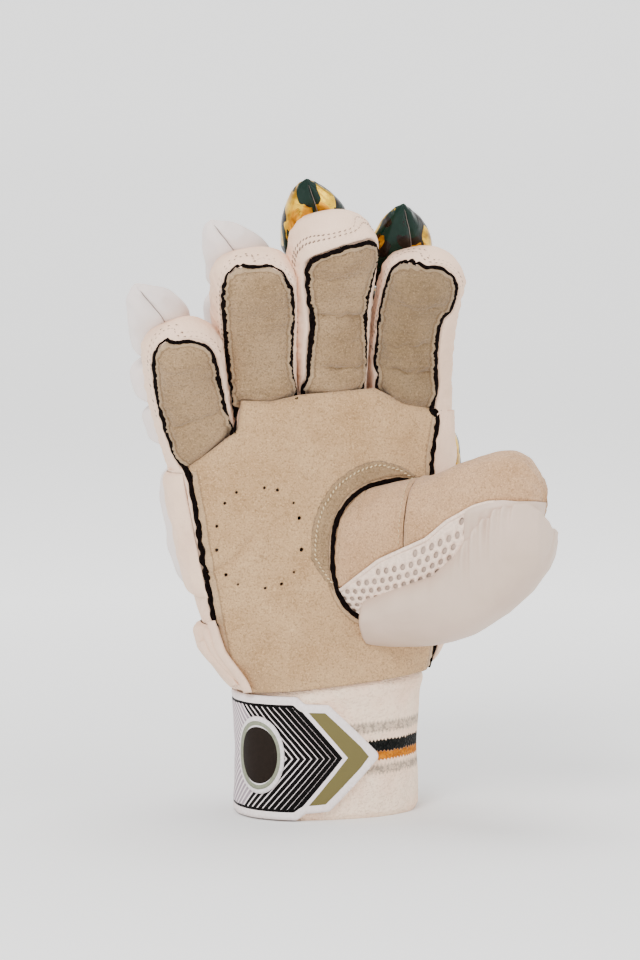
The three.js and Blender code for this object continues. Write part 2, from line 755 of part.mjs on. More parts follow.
// The angles at which a pad is divided: its two edges and the hand's own divisions between them.
function padTurns(start, end) {
  const step = 180 / handSides;
  const inner = [];
  for (let turn = Math.ceil((start + 1) / step) * step; turn < end - 1; turn += step) inner.push(turn);
  return [start, ...inner, end];
}

// Pads on the hand: angles go round it from the thumb side, heights are shares of the palm's length,
// and the edge is the share of the thickness that is left at the two sides.
function handPad(from, to, start, end, thickness, rows, edge) {
  const turns = padTurns(start, end);
  return sheet(rows, turns.length - 1, (a, b, side) => {
    const degrees = turns[Math.round(b * (turns.length - 1))];
    const across = (2 * (degrees - start)) / (end - start) - 1;
    const turn = THREE.MathUtils.degToRad(degrees);
    const seam = wristHeight + wristSlope * (handPoint(wristHeight, turn, 0).x - cuffCentre);
    const low = from === null ? seam + 2 * gap : wristHeight + from * palmLength;
    const height = THREE.MathUtils.lerp(low, wristHeight + to * palmLength, a);
    const crown = Math.sqrt(1 - (1 - edge) * across ** 2);
    const swell = 1 - 0.6 * Math.abs(2 * a - 1) ** 3;
    return handPoint(height, turn, padClearance + side * thickness * crown * swell);
  });
}

const wristTop = wristRollHeight / palmLength;
const columnFoot = wristTop + rollSpacing / palmLength;
add('wrist_roll', handPad(null, wristTop, 22, 150, wristRollThickness, 3, 0.2), 'white');

// The four columns of rolls on the back of the hand, by the angles that they span.
const columns = [
  { name: 'index', start: 16, end: 58, top: 0.86, look: 'camouflage' },
  { name: 'middle', start: 62, end: 88, top: 0.93, look: 'camouflage' },
  { name: 'ring', start: 92, end: 118, top: 0.89, look: 'white' },
  { name: 'pinky', start: 122, end: 144, top: 0.74, look: 'white' },
];
for (const column of columns) {
  const pad = handPad(columnFoot, column.top, column.start, column.end, handRollThickness, 4, 0.05);
  add(`hand_roll_${column.name}`, pad, column.look);
}

add('side_pad', handPad(0.30, 0.72, 160, 204, sidePadThickness, 3, 0.4), 'gusset');
add('side_tab', handPad(null, 0.205, 160, 206, 1.6 * sidePadThickness, 3, 0.4), 'gusset');

// Cuff: a knitted tube from the flat rim to the wrist seam
const cuffWall = cuffForm(0, 0).subtract(cuffForm(-towelWall, 1));
add('cuff', cuffWall.intersect(wristSide(false, 0)), 'towel');

// Wrist strap: round the little-finger side from the back to a point on the front
const strapTip = cuffCentre + strapReach;
const strapShoulder = strapTip - strapPoint;
const strapNotch = strapShoulder - 2.7 * strapStep;
const strapFront = prism([
  [-reach, strapClearance],
  [strapNotch - strapStep, strapClearance],
  [strapNotch, strapClearance + 0.8 * strapStep],
  [strapShoulder, strapClearance + strapStep],
  [strapTip, strapClearance + 0.48 * strapHeight],
  [strapTip, strapClearance + 0.52 * strapHeight],
  [strapShoulder, strapClearance + strapHeight - strapStep],
  [strapNotch, strapClearance + strapHeight - 0.9 * strapStep],
  [strapNotch - 0.9 * strapStep, strapClearance + strapHeight],
  [-reach, strapClearance + strapHeight],
], -reach, 0.01);
const strapBack = prism([
  [-reach, strapClearance],
  [cuffCentre + 0.2 * cuffWidth, strapClearance],
  [cuffCentre + 0.2 * cuffWidth, strapClearance + strapHeight],
  [-reach, strapClearance + strapHeight],
], 0, reach);
const strapBand = cuffForm(gap + strapWall, 0).subtract(cuffForm(gap, 1));
add('wrist_strap', strapBand.intersect(strapFront.add(strapBack)), 'strap');

// Badge: a plain raised oval on the strap, with no mark on it
const badgeTurn = -56;
const badgeCut = prism(ovalOutline(0, strapClearance + 0.52 * strapHeight, badgeWidth, badgeHeight, 20), -reach, 0)
  .rotate([0, 0, badgeTurn]).translate([cuffCentre - 0.3 * cuffWidth, 0, 0]);
const badgeBand = cuffForm(2 * gap + strapWall + badgeWall, 0).subtract(cuffForm(2 * gap + strapWall, 1));
add('strap_badge', badgeBand.intersect(badgeCut), 'badge');

// The origin goes to the middle of the rim's plane, under the middle of the whole glove.
const bounds = new THREE.Box3().setFromObject(glove);
const middle = bounds.getCenter(new THREE.Vector3());
for (const piece of glove.children) piece.geometry.translate(-middle.x, -middle.y, -bounds.min.z);

export default glove;
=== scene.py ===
"""Dresses the batting glove: every solid of the frame gets a fine, soft piece in its place.

Lengths are millimetres in the glove's own frame until a mesh is made. The palm faces -Y, the thumb
side is +X and the fingers point to +Z.
"""
import math

import bpy
import numpy as np
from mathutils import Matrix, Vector
from mathutils.geometry import delaunay_2d_cdt


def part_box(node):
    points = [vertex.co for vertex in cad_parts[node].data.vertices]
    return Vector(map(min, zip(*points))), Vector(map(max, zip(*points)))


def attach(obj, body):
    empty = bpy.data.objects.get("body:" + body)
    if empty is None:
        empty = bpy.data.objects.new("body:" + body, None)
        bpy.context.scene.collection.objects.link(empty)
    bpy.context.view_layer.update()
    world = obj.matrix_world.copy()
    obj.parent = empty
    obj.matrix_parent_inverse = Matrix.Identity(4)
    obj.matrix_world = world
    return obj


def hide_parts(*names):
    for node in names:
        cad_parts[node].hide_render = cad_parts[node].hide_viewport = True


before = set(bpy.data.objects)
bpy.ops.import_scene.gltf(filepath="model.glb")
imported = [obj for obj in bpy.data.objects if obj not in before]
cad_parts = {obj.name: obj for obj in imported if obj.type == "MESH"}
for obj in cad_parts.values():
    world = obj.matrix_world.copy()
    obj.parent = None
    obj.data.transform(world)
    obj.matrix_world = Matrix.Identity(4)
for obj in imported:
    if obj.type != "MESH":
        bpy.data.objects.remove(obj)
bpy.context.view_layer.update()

# Sizes, as in the part's source
GAP = 0.35
LEATHER = 2.0
TOWEL = 3.2
PALM_LENGTH = 125
HAND_WIDTH = 124
HAND_THICKNESS = 42
CUFF_WIDTH = 77.5
CUFF_DEPTH = 52
WRIST_HEIGHT = 57
WRIST_SLOPE = 0.088
CUFF_CENTRE = 8.2
FINGER_LENGTH = 80
FINGER_WIDTH = 34
FINGER_THICKNESS = 30
FINGER_ROLL = 16
HAND_ROLL = 19
WRIST_ROLL = 13
WRIST_ROLL_HEIGHT = 32
SIDE_PAD = 3
PAD_CLEARANCE = 0.6
ROLL_SPACING = 3
ROLL_SPREAD = 0.39
THUMB_LENGTH = 97
THUMB_HEIGHT = 57
THUMB_DEPTH = 37
GUARD_HEIGHT = 72
GUARD_DEPTH = 51
GUARD_OVERHANG = 4
THUMB_ROOT = (6, -4, WRIST_HEIGHT)
THUMB_TURN = math.radians(-36.6)
STRAP_WALL = 2.6
STRAP_CLEARANCE = 0.8
STRAP_HEIGHT = WRIST_HEIGHT - 4.8

# The forms' sections are ovals between an ellipse and a rectangle
ROUNDNESS = 2.6
SECTION_POWER = 2 / ROUNDNESS
THUMB_POWER = 0.88
CUFF_POWER = 0.9

low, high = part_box("cuff")
SHIFT = np.array([CUFF_CENTRE - 500 * (low[0] + high[0]), -500 * (low[1] + high[1]), 0.0])


# Curves through short tables

def table(key, columns, *rows):
    """Columns by name; the first one is the place that the table is read at."""
    values = np.array(rows, float).T
    return dict(zip((key, *columns), values))


def read(rows, at, column):
    """A smooth curve through one column, at places given in the table's first column."""
    places = next(iter(rows.values()))
    values = rows[column]
    at = np.asarray(at, float)
    last = len(places) - 2
    i = np.clip(np.searchsorted(places[1:], at, side="left"), 0, last)
    share = np.clip((at - places[i]) / (places[i + 1] - places[i]), 0, 1)
    before, start = values[np.maximum(i - 1, 0)], values[i]
    end, after = values[i + 1], values[np.minimum(i + 2, last + 1)]
    rise, fall = (end - before) / 2, (after - start) / 2
    square, cube = share ** 2, share ** 3
    return (start * (2 * cube - 3 * square + 1) + rise * (cube - 2 * square + share)
            + end * (3 * square - 2 * cube) + fall * (cube - square))


def signed_power(value, power):
    return np.sign(value) * np.abs(value) ** power


def smooth(low_edge, high_edge, value):
    share = np.clip((value - low_edge) / (high_edge - low_edge), 0, 1)
    return share * share * (3 - 2 * share)


def points(*parts):
    return np.stack(np.broadcast_arrays(*parts), axis=-1).astype(float)


def ripple(seed, size, *where, waves=9):
    """A smooth random field with features of about the given size, from -1 to 1."""
    random = np.random.default_rng(seed)
    total = 0.0
    for _ in range(waves):
        direction = random.normal(size=len(where))
        direction *= random.uniform(0.6, 1.6) * 2 * math.pi / (size * np.linalg.norm(direction))
        phase = random.uniform(0, 2 * math.pi)
        total = total + np.sin(sum(a * w for a, w in zip(direction, where)) + phase)
    return total / math.sqrt(waves)


def away(u, v, line):
    """How far each point lies from a line of (u, v) places."""
    u, v = np.asarray(u, float), np.asarray(v, float)
    best = np.full(np.broadcast(u, v).shape, 1e9)
    for (a, b), (c, d) in zip(line, line[1:]):
        du, dv = c - a, d - b
        share = np.clip(((u - a) * du + (v - b) * dv) / (du * du + dv * dv), 0, 1)
        best = np.minimum(best, np.hypot(u - a - share * du, v - b - share * dv))
    return best


def unit(vectors, spare=0.0):
    return vectors / (np.linalg.norm(vectors, axis=1)[:, None] + spare)


def between(start, end, shares):
    """Rows of places from one line to another, at the given shares of the way."""
    return start[:, None] + shares * (end - start)[:, None]


def valley(distance, width):
    return np.exp(-(distance / width) ** 2)


# The hand
HAND = table("rise", ("left", "right", "middle", "depth"),
             (-0.14, -0.245, 0.377, 0.000, 0.600),
             (0.00, -0.268, 0.400, -0.010, 0.592),
             (0.12, -0.352, 0.440, -0.020, 0.555),
             (0.30, -0.410, 0.476, -0.024, 0.520),
             (0.50, -0.455, 0.498, -0.024, 0.500),
             (0.75, -0.502, 0.512, -0.012, 0.455),
             (1.00, -0.522, 0.506, 0.012, 0.365),
             (1.12, -0.524, 0.500, 0.020, 0.340))
PALM = table("rise", ("left", "right"),
             (-0.20, -0.245, 0.375), (-0.03, -0.276, 0.384), (0.09, -0.325, 0.404),
             (0.27, -0.360, 0.412), (0.45, -0.394, 0.400), (0.60, -0.416, 0.384),
             (0.75, -0.446, 0.384), (0.90, -0.490, 0.416), (1.10, -0.520, 0.440))
CREASE = [(-0.700, 0.655), (-0.449, 0.750), (-0.287, 0.865), (-0.270, 0.962), (-0.170, 0.958),
          (-0.068, 0.978), (0.196, 0.996), (0.300, 0.945), (0.440, 0.918), (0.700, 0.900)]


def rise_of(z):
    return (np.asarray(z, float) - WRIST_HEIGHT) / PALM_LENGTH


def height_of(rise):
    return WRIST_HEIGHT + rise * PALM_LENGTH


def crease(x):
    across, rise = np.array(CREASE).T
    return height_of(np.interp(np.asarray(x, float) / HAND_WIDTH, across, rise))


def seam(x):
    return WRIST_HEIGHT + WRIST_SLOPE * (np.asarray(x, float) - CUFF_CENTRE)


def palm_edge(z, side):
    return HAND_WIDTH * read(PALM, rise_of(z), side)


def hand_section(z):
    left, right, middle, depth = (read(HAND, rise_of(z), c) for c in ("left", "right", "middle", "depth"))
    return ((left + right) / 2 * HAND_WIDTH, middle * HAND_THICKNESS,
            (right - left) / 2 * HAND_WIDTH, depth * HAND_THICKNESS)


def on_hand(turn, z, grow=0.0):
    """Round the hand by an angle: 0 at the thumb side, a quarter at the back."""
    x, y, wide, deep = hand_section(z)
    return points(x + (wide + grow) * signed_power(np.cos(turn), SECTION_POWER),
                  y + (deep + grow) * signed_power(np.sin(turn), SECTION_POWER), z)


def on_palm(x, z, grow=0.0):
    """The palm's side of the hand by X and height."""
    middle, y, wide, deep = hand_section(z)
    across = np.clip(np.abs(x - middle) / (wide + grow), 0, 0.9999)
    return points(x, y - (deep + grow) * (1 - across ** ROUNDNESS) ** (1 / ROUNDNESS), z)


def hand_turn(x, z):
    """The angle at which the palm's side reaches a given X."""
    middle, _, wide, _ = hand_section(z)
    across = np.clip((x - middle) / wide, -0.9999, 0.9999)
    return -np.arccos(signed_power(across, ROUNDNESS / 2))


# The fingers
FINGER_COLUMNS = ("across", "rise", "length", "width", "root", "lean", "twist", "overhang", "point", "dome")
FINGERS = {
    "middle": (0.066, 0.985, 1.000, 1.08, 0.80, 5.4, -3, 0.085, -0.22, 13.0),
    "index": (0.352, 0.950, 0.840, 1.04, 1.02, 4.6, -14, 0.170, -0.22, 11.0),
    "ring": (-0.176, 0.962, 0.820, 1.04, 0.83, 8.6, 0, 0.100, -0.38, 9.5),
    "pinky": (-0.388, 0.805, 0.700, 0.96, 0.94, 17.5, -8, 0.195, -0.36, 9.5),
}
FINGERS = {name: dict(zip(FINGER_COLUMNS, row), name=name) for name, row in FINGERS.items()}

# The palm-side panels: how far they reach to each side of the finger's middle line, then where the
# end starts to round, how far it rises and how much it tilts; the folds across them are given by
# place, slope and strength, and the rows of slits, whose dark dashes are painted shade, by their
# distance from the panel
SIDES = ("left", "right")
FINGERS["middle"].update(
    rows=table("along", SIDES, (-4, -17.5, 10.0), (2, -15.5, 10.4), (8, -12.2, 12.0), (16, -11.6, 12.9),
               (25, -11.0, 12.0), (32, -10.3, 11.7), (40, -10.6, 11.5), (48, -11.8, 12.4),
               (55, -13.0, 14.4), (65, -13.6, 17.2)),
    end=(65, 10.9, 2.9), stitches=(8.2, 10.0),
    creases=((58.6, 0.03, 0.35), (39.6, -0.15, 1.0), (13.0, -0.10, 0.9), (24.0, 0.05, 0.2)))
FINGERS["index"].update(
    rows=table("along", SIDES, (-4, -21.0, 1.2), (3, -21.6, 2.6), (9, -21.8, 3.4), (14, -21.0, 2.8),
               (19, -24.4, 2.2), (27, -23.8, 1.8), (36, -24.5, 1.6), (44, -24.8, 2.4), (49, -24.8, 6.6),
               (60, -24.4, 7.2)),
    end=(60, 12.5, 3.6), stitches=(3.8, 5.2),
    creases=((29.5, 0.11, 0.5), (15.5, -0.12, 0.9), (21.8, 0.0, 0.35), (50.0, 0.1, 0.3)))
FINGERS["ring"].update(
    rows=table("along", SIDES, (-4, -14.4, 13.6), (2, -14.6, 13.0), (10, -14.6, 10.9), (22, -15.0, 11.2),
               (34, -15.0, 12.5), (45, -15.4, 13.2), (55, -15.8, 12.2), (62, -15.6, 10.4)),
    end=(62, 11.6, 1.0), stitches=(3.4, 4.8), creases=((5.0, 0.05, 0.3), (44.0, 0.04, 0.15)))
FINGERS["pinky"].update(
    rows=table("along", SIDES, (-6, -12.0, 11.0), (0, -14.6, 10.2), (7, -16.5, 9.8), (14, -17.4, 8.8),
               (24, -18.2, 8.5), (32, -18.5, 8.1), (40, -18.5, 7.4), (50, -18.4, 6.4)),
    end=(50, 12.3, 1.5), stitches=(3.8, 5.4), creases=((16.8, 0.08, 0.55), (38.0, -0.03, 0.2)))
FINGER_FORM = table("along", ("open", "thick"), (-0.30, -0.20, 0.84), (0.00, 0.00, 0.94),
                    (0.30, 0.60, 1.00), (0.60, 1.00, 1.00), (1.00, 0.90, 0.94))
BEND_ROOT, BEND_TIP = math.radians(4), math.radians(42)


def finger_span(finger):
    return finger["length"] * FINGER_LENGTH


def finger_frame(finger, along):
    along = np.asarray(along, float)
    length = finger_span(finger)
    lean, twist = math.radians(finger["lean"]), math.radians(finger["twist"])
    up = np.array([-math.sin(lean), 0, math.cos(lean)])
    side = np.array([math.cos(lean), 0, math.sin(lean)])
    side = side * math.cos(-twist) + np.cross(up, side) * math.sin(-twist)
    front = np.cross(side, up)
    curvature = (BEND_TIP - BEND_ROOT) / length
    bent = np.clip(along, 0, length)
    tilt = BEND_ROOT + curvature * bent
    rise = (np.sin(tilt) - math.sin(BEND_ROOT)) / curvature + (along - bent) * np.cos(tilt)
    forward = (math.cos(BEND_ROOT) - np.cos(tilt)) / curvature + (along - bent) * np.sin(tilt)
    root = np.array([finger["across"] * HAND_WIDTH, 0, height_of(finger["rise"])])
    centre = root + rise[..., None] * up + forward[..., None] * front
    palmar = np.cos(tilt)[..., None] * front - np.sin(tilt)[..., None] * up
    return centre, side, palmar


def finger_section(finger, along):
    share = np.asarray(along, float) / finger_span(finger)
    root = finger["root"] + (1 - finger["root"]) * read(FINGER_FORM, share, "open")
    wide = finger["width"] * FINGER_WIDTH * root / 2
    return wide, FINGER_THICKNESS * read(FINGER_FORM, share, "thick") / 2


def finger_skin(finger, along, turn, grow=0.0, shrink=1.0):
    """Round a finger by an angle: 0 at the palm side, a quarter at the thumb side."""
    centre, side, palmar = finger_frame(finger, along)
    wide, deep = finger_section(finger, along)
    across = (wide + grow) * shrink * signed_power(np.sin(turn), SECTION_POWER)
    out = (deep + grow) * shrink * signed_power(np.cos(turn), SECTION_POWER)
    return centre + across[..., None] * side + out[..., None] * palmar


def arc_table(finger):
    """Distances round a finger from the middle of its palm side, for some places along it."""
    stations = np.linspace(-0.3, 1.0, 27) * finger_span(finger)
    turns = np.linspace(0, math.pi, 181)
    wide, deep = finger_section(finger, stations)
    across = wide[:, None] * signed_power(np.sin(turns), SECTION_POWER)
    out = deep[:, None] * signed_power(np.cos(turns), SECTION_POWER)
    steps = np.hypot(np.diff(across), np.diff(out))
    return stations, turns, np.hstack([np.zeros((len(stations), 1)), np.cumsum(steps, axis=1)])


for each in FINGERS.values():
    each["arcs"] = arc_table(each)


def finger_turn(finger, along, distance):
    stations, turns, arcs = finger["arcs"]
    along, distance = np.broadcast_arrays(np.asarray(along, float), np.asarray(distance, float))
    place = np.clip((along - stations[0]) / (stations[1] - stations[0]), 0, len(stations) - 1.001)
    row = place.astype(int)
    result = np.zeros(along.shape)
    for k in np.unique(row):
        here = row == k
        near = np.interp(np.abs(distance[here]), arcs[k], turns)
        far = np.interp(np.abs(distance[here]), arcs[k + 1], turns)
        result[here] = near + (place[here] - k) * (far - near)
    return result * np.sign(distance)


def finger_arc(finger, along, turn):
    """The distance round the finger at an angle, the other way about."""
    stations, turns, arcs = finger["arcs"]
    along, turn = np.broadcast_arrays(np.asarray(along, float), np.asarray(turn, float))
    row = np.round((along - stations[0]) / (stations[1] - stations[0]))
    row = np.clip(row, 0, len(stations) - 1).astype(int)
    result = np.zeros(along.shape)
    for k in np.unique(row):
        here = row == k
        result[here] = np.interp(np.abs(turn[here]), turns, arcs[k])
    return result * np.sign(turn)


def finger_meridian(finger):
    """Millimetres of surface over a finger's tip for each radian that it turns."""
    return 0.55 * (finger["dome"] + FINGER_THICKNESS / 2)


def finger_station(finger, along):
    """The place on the finger's middle line, and the shrinking at its domed tip."""
    shoulder = finger_span(finger) - finger["dome"]
    angle = np.clip((along - shoulder) / finger_meridian(finger), 0, math.pi / 2 - 0.0004)
    return np.where(along > shoulder, shoulder + finger["dome"] * np.sin(angle), along), np.cos(angle) ** 0.8


def on_finger(finger):
    """A finger's surface by distance from its palm side's middle line and distance along it."""
    def place(across, along, grow=0.0):
        station, shrink = finger_station(finger, along)
        return finger_skin(finger, station, finger_turn(finger, station, across / shrink), grow, shrink)
    return place


def crease_along(finger, across):
    """Where along a finger its palm side crosses the crease."""
    along = np.zeros_like(np.asarray(across, float))
    place = on_finger(finger)
    for _ in range(8):
        at = place(across, along)
        along = along + 0.8 * (crease(at[..., 0]) - at[..., 2])
    return np.clip(along, -0.28 * finger_span(finger), None)


# The thumb
STALL = table("along", ("rise", "height", "depth"),
              (-0.15, 0.408, 0.920, 0.66), (0.25, 0.440, 1.015, 0.92), (0.47, 0.480, 1.000, 1.00),
              (0.68, 0.552, 0.975, 1.00), (0.82, 0.600, 0.880, 0.92), (0.92, 0.624, 0.690, 0.74),
              (0.97, 0.631, 0.450, 0.50), (0.99, 0.633, 0.260, 0.29), (1.00, 0.634, 0.010, 0.01))
GUARD = table("along", ("rise", "height", "depth"),
              (0.08, 0.330, 0.640, 0.66), (0.22, 0.372, 0.860, 0.86), (0.45, 0.420, 1.000, 0.98),
              (0.66, 0.468, 1.000, 1.00), (0.80, 0.510, 0.890, 0.94), (0.90, 0.530, 0.690, 0.80),
              (0.97, 0.536, 0.440, 0.54), (0.995, 0.536, 0.220, 0.26), (1.00, 0.536, 0.010, 0.01))
GUARD_SEAM = ((-0.30, -0.400), (0.19, -0.400), (0.21, 0.266), (0.38, 0.328), (0.53, 0.376),
              (0.62, 0.456), (0.74, 0.580), (0.82, 0.634), (0.90, 0.652), (1.30, 0.652))
MESH_SEAM = ((-0.30, 0.190), (0.13, 0.328), (0.31, 0.432), (0.53, 0.512), (0.62, 0.572),
             (0.74, 0.626), (0.80, 0.640), (0.86, 0.645), (0.94, 0.641), (1.00, 0.634), (1.30, 0.634))
BACK_SEAM = ((-0.30, -0.400), (0.19, -0.400), (0.21, 0.330), (1.30, 0.650))
THUMB_SPLIT = 0.42
SEAM_END = 0.93


def to_hand(place):
    """From the thumb's own frame, with its length along X, into the hand's."""
    x, y, z = place[..., 0], place[..., 1], place[..., 2]
    cosine, sine = math.cos(THUMB_TURN), math.sin(THUMB_TURN)
    return points(cosine * x - sine * y, sine * x + cosine * y, z) + np.array(THUMB_ROOT)


def on_thumb(rows, tall, deep, overhang=0.0):
    """The thumb's surface by share of its length and angle: a half turn at the front."""
    def place(along, turn, grow=0.0):
        height = np.maximum(tall * read(rows, along, "height") / 2 + grow, 0.01)
        depth = np.maximum(deep * read(rows, along, "depth") / 2 + grow, 0.01)
        tip = np.clip((np.asarray(along, float) - 0.9) / 0.1, 0, 1) * grow
        across = depth * signed_power(np.cos(turn), THUMB_POWER)
        up = PALM_LENGTH * read(rows, along, "rise") + height * signed_power(np.sin(turn), THUMB_POWER)
        return to_hand(points(along * (THUMB_LENGTH + overhang) + tip, across, up))
    return place


def seam_turn(rows, tall, line, along, front):
    """The angle at which a seam, given by shares of the thumb and the palm, runs on a thumb form."""
    along = np.minimum(along, SEAM_END)
    rise = np.interp(along, *np.array(line).T)
    lift = (rise - read(rows, along, "rise")) * PALM_LENGTH / (tall * read(rows, along, "height") / 2)
    angle = np.arcsin(np.clip(signed_power(np.clip(lift, -1, 1), 1 / THUMB_POWER), -1, 1))
    return math.pi - angle if front else angle


def in_thumb(place, grow):
    """Below one inside the thumb's stall grown by a distance, for places in the hand's frame."""
    x, y = place[..., 0] - THUMB_ROOT[0], place[..., 1] - THUMB_ROOT[1]
    cosine, sine = math.cos(-THUMB_TURN), math.sin(-THUMB_TURN)
    along, across = (cosine * x - sine * y) / THUMB_LENGTH, sine * x + cosine * y
    height = THUMB_HEIGHT * read(STALL, along, "height") / 2 + grow
    depth = THUMB_DEPTH * read(STALL, along, "depth") / 2 + grow
    lift = place[..., 2] - THUMB_ROOT[2] - PALM_LENGTH * read(STALL, along, "rise")
    return np.abs(across / depth) ** (2 / THUMB_POWER) + np.abs(lift / height) ** (2 / THUMB_POWER)


def thumb_hole(grow, step=2.0):
    """The outline in X and Z at which the grown thumb meets the palm."""
    centre = np.array([27.0, 112.0])
    outline = []
    reaches = np.linspace(2, 45, 173)
    for turn in np.radians(np.arange(0, 360, step)):
        ray = np.array([math.cos(turn), math.sin(turn)])
        places = centre + reaches[:, None] * ray
        within = in_thumb(on_palm(places[:, 0], places[:, 1]), grow) < 1
        outline.append(centre + (reaches[-1] if within.all() else reaches[np.argmin(within)]) * ray)
    return np.array(outline)


# The cuff
CUFF = table("height", ("width", "depth"), (0.00, 1.000, 1.000), (0.55, 0.985, 0.975), (1.15, 1.040, 0.960))


def cuff_arcs():
    turns = np.linspace(-math.pi / 2, -math.pi / 2 - 2 * math.pi, 721)
    x = CUFF_WIDTH / 2 * signed_power(np.cos(turns), CUFF_POWER)
    y = CUFF_DEPTH / 2 * signed_power(np.sin(turns), CUFF_POWER)
    steps = np.hypot(np.diff(x), np.diff(y))
    return turns, np.concatenate([[0], np.cumsum(steps)])


CUFF_TURNS, CUFF_ARCS = cuff_arcs()
CUFF_ROUND = CUFF_ARCS[-1]


def on_cuff(walked, z, grow=0.0):
    """The cuff by distance from the middle of its front, towards the little finger, and height."""
    turn = np.interp(np.asarray(walked, float) % CUFF_ROUND, CUFF_ARCS, CUFF_TURNS)
    share = np.asarray(z, float) / WRIST_HEIGHT
    wide = CUFF_WIDTH / 2 * read(CUFF, share, "width") + grow
    deep = CUFF_DEPTH / 2 * read(CUFF, share, "depth") + grow
    return points(CUFF_CENTRE + wide * signed_power(np.cos(turn), CUFF_POWER),
                  deep * signed_power(np.sin(turn), CUFF_POWER), z)


# Lines and outlines

def resample(line, step):
    line = np.asarray(line, float)
    lengths = np.concatenate([[0], np.cumsum(np.linalg.norm(np.diff(line, axis=0), axis=1))])
    count = max(2, int(round(lengths[-1] / step)) + 1)
    at = np.linspace(0, lengths[-1], count)
    return np.stack([np.interp(at, lengths, line[:, k]) for k in range(line.shape[1])], axis=1)


def loop(line, step):
    return resample(np.vstack([line, line[:1]]), step)[:-1]


def inside(outline, u, v):
    """Whether each place lies within a closed outline."""
    result = np.zeros(u.shape, bool)
    for (a, b), (c, d) in zip(outline, np.roll(outline, -1, axis=0)):
        if b == d:
            continue
        crossing = (b > v) != (d > v)
        result ^= crossing & (u < a + (v - b) * (c - a) / (d - b))
    return result


# Meshes

def link(name, data):
    made = bpy.data.objects.new(name, data)
    bpy.context.scene.collection.objects.link(made)
    return made


def make(name, places, faces, look, pattern=None):
    """One piece from places in millimetres; the pattern is a pair of numbers for each place.

    A look is a material and its slot; the slot is not used. A piece with a solid's name stands for that
    solid.
    """
    material, slot = look
    mesh = bpy.data.meshes.new(name)
    mesh.from_pydata(((places - SHIFT) / 1000).tolist(), [], [tuple(face) for face in faces])
    mesh.validate()
    mesh.polygons.foreach_set("use_smooth", np.ones(len(mesh.polygons), bool))
    if pattern is not None:
        layer = mesh.uv_layers.new(name="pattern")
        corners = np.empty(len(mesh.loops), int)
        mesh.loops.foreach_get("vertex_index", corners)
        layer.data.foreach_set("uv", np.asarray(pattern, float)[corners].ravel())
    piece = link(name, mesh)
    mesh.materials.append(material)
    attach(piece, "root")
    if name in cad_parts:
        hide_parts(name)


def grid_faces(rows, columns, wrap, flip=False, start=0):
    count = columns if wrap else columns - 1
    row, column = np.meshgrid(np.arange(rows - 1), np.arange(count), indexing="ij")
    row, column = row.ravel(), column.ravel()
    beside = (column + 1) % columns
    faces = np.stack([row * columns + column, row * columns + beside,
                      (row + 1) * columns + beside, (row + 1) * columns + column], axis=1) + start
    return faces[:, ::-1] if flip else faces


def double_wall(name, outer, inner, wrap, rim, look, pattern):
    """A wall between two grids, with the faces that close its rim."""
    rows, columns = outer.shape[:2]
    places = np.vstack([outer.reshape(-1, 3), inner.reshape(-1, 3)])
    faces = [*grid_faces(rows, columns, wrap), *grid_faces(rows, columns, wrap, True, rows * columns), *rim]
    if pattern is not None:
        pattern = np.vstack([pattern.reshape(-1, 2)] * 2)
    make(name, places, faces, look, pattern)


def tube(name, outer, inner, look, pattern=None):
    """A wall between two grids of rings, closed at both ends."""
    rows, columns = outer.shape[:2]
    count, rim = rows * columns, []
    for row in (0, rows - 1):
        for column in range(columns):
            a, b = row * columns + column, row * columns + (column + 1) % columns
            rim.append((a, a + count, b + count, b) if row == 0 else (b, b + count, a + count, a))
    double_wall(name, outer, inner, True, rim, look, pattern)


def sheet(name, outer, inner, look, pattern=None):
    """A wall between two open grids, closed round its rim."""
    rows, columns = outer.shape[:2]
    count = rows * columns
    rim = [(0, c) for c in range(columns)] + [(r, columns - 1) for r in range(1, rows)]
    rim += [(rows - 1, c) for c in range(columns - 2, -1, -1)] + [(r, 0) for r in range(rows - 2, 0, -1)]
    rim = [r * columns + c for r, c in rim]
    rim = [(b, a, a + count, b + count) for a, b in zip(rim, rim[1:] + rim[:1])]
    double_wall(name, outer, inner, False, rim, look, pattern)


def closed(name, rings, look):
    """A form through closed rings, shut at both ends."""
    rows, columns = rings.shape[:2]
    places = rings.reshape(-1, 3)
    faces = list(grid_faces(rows, columns, True))
    start, end = len(places), len(places) + 1
    places = np.vstack([places, rings[0].mean(axis=0), rings[-1].mean(axis=0)])
    last = (rows - 1) * columns
    for column in range(columns):
        beside = (column + 1) % columns
        faces += [(start, beside, column), (end, last + column, last + beside)]
    make(name, places, faces, look)


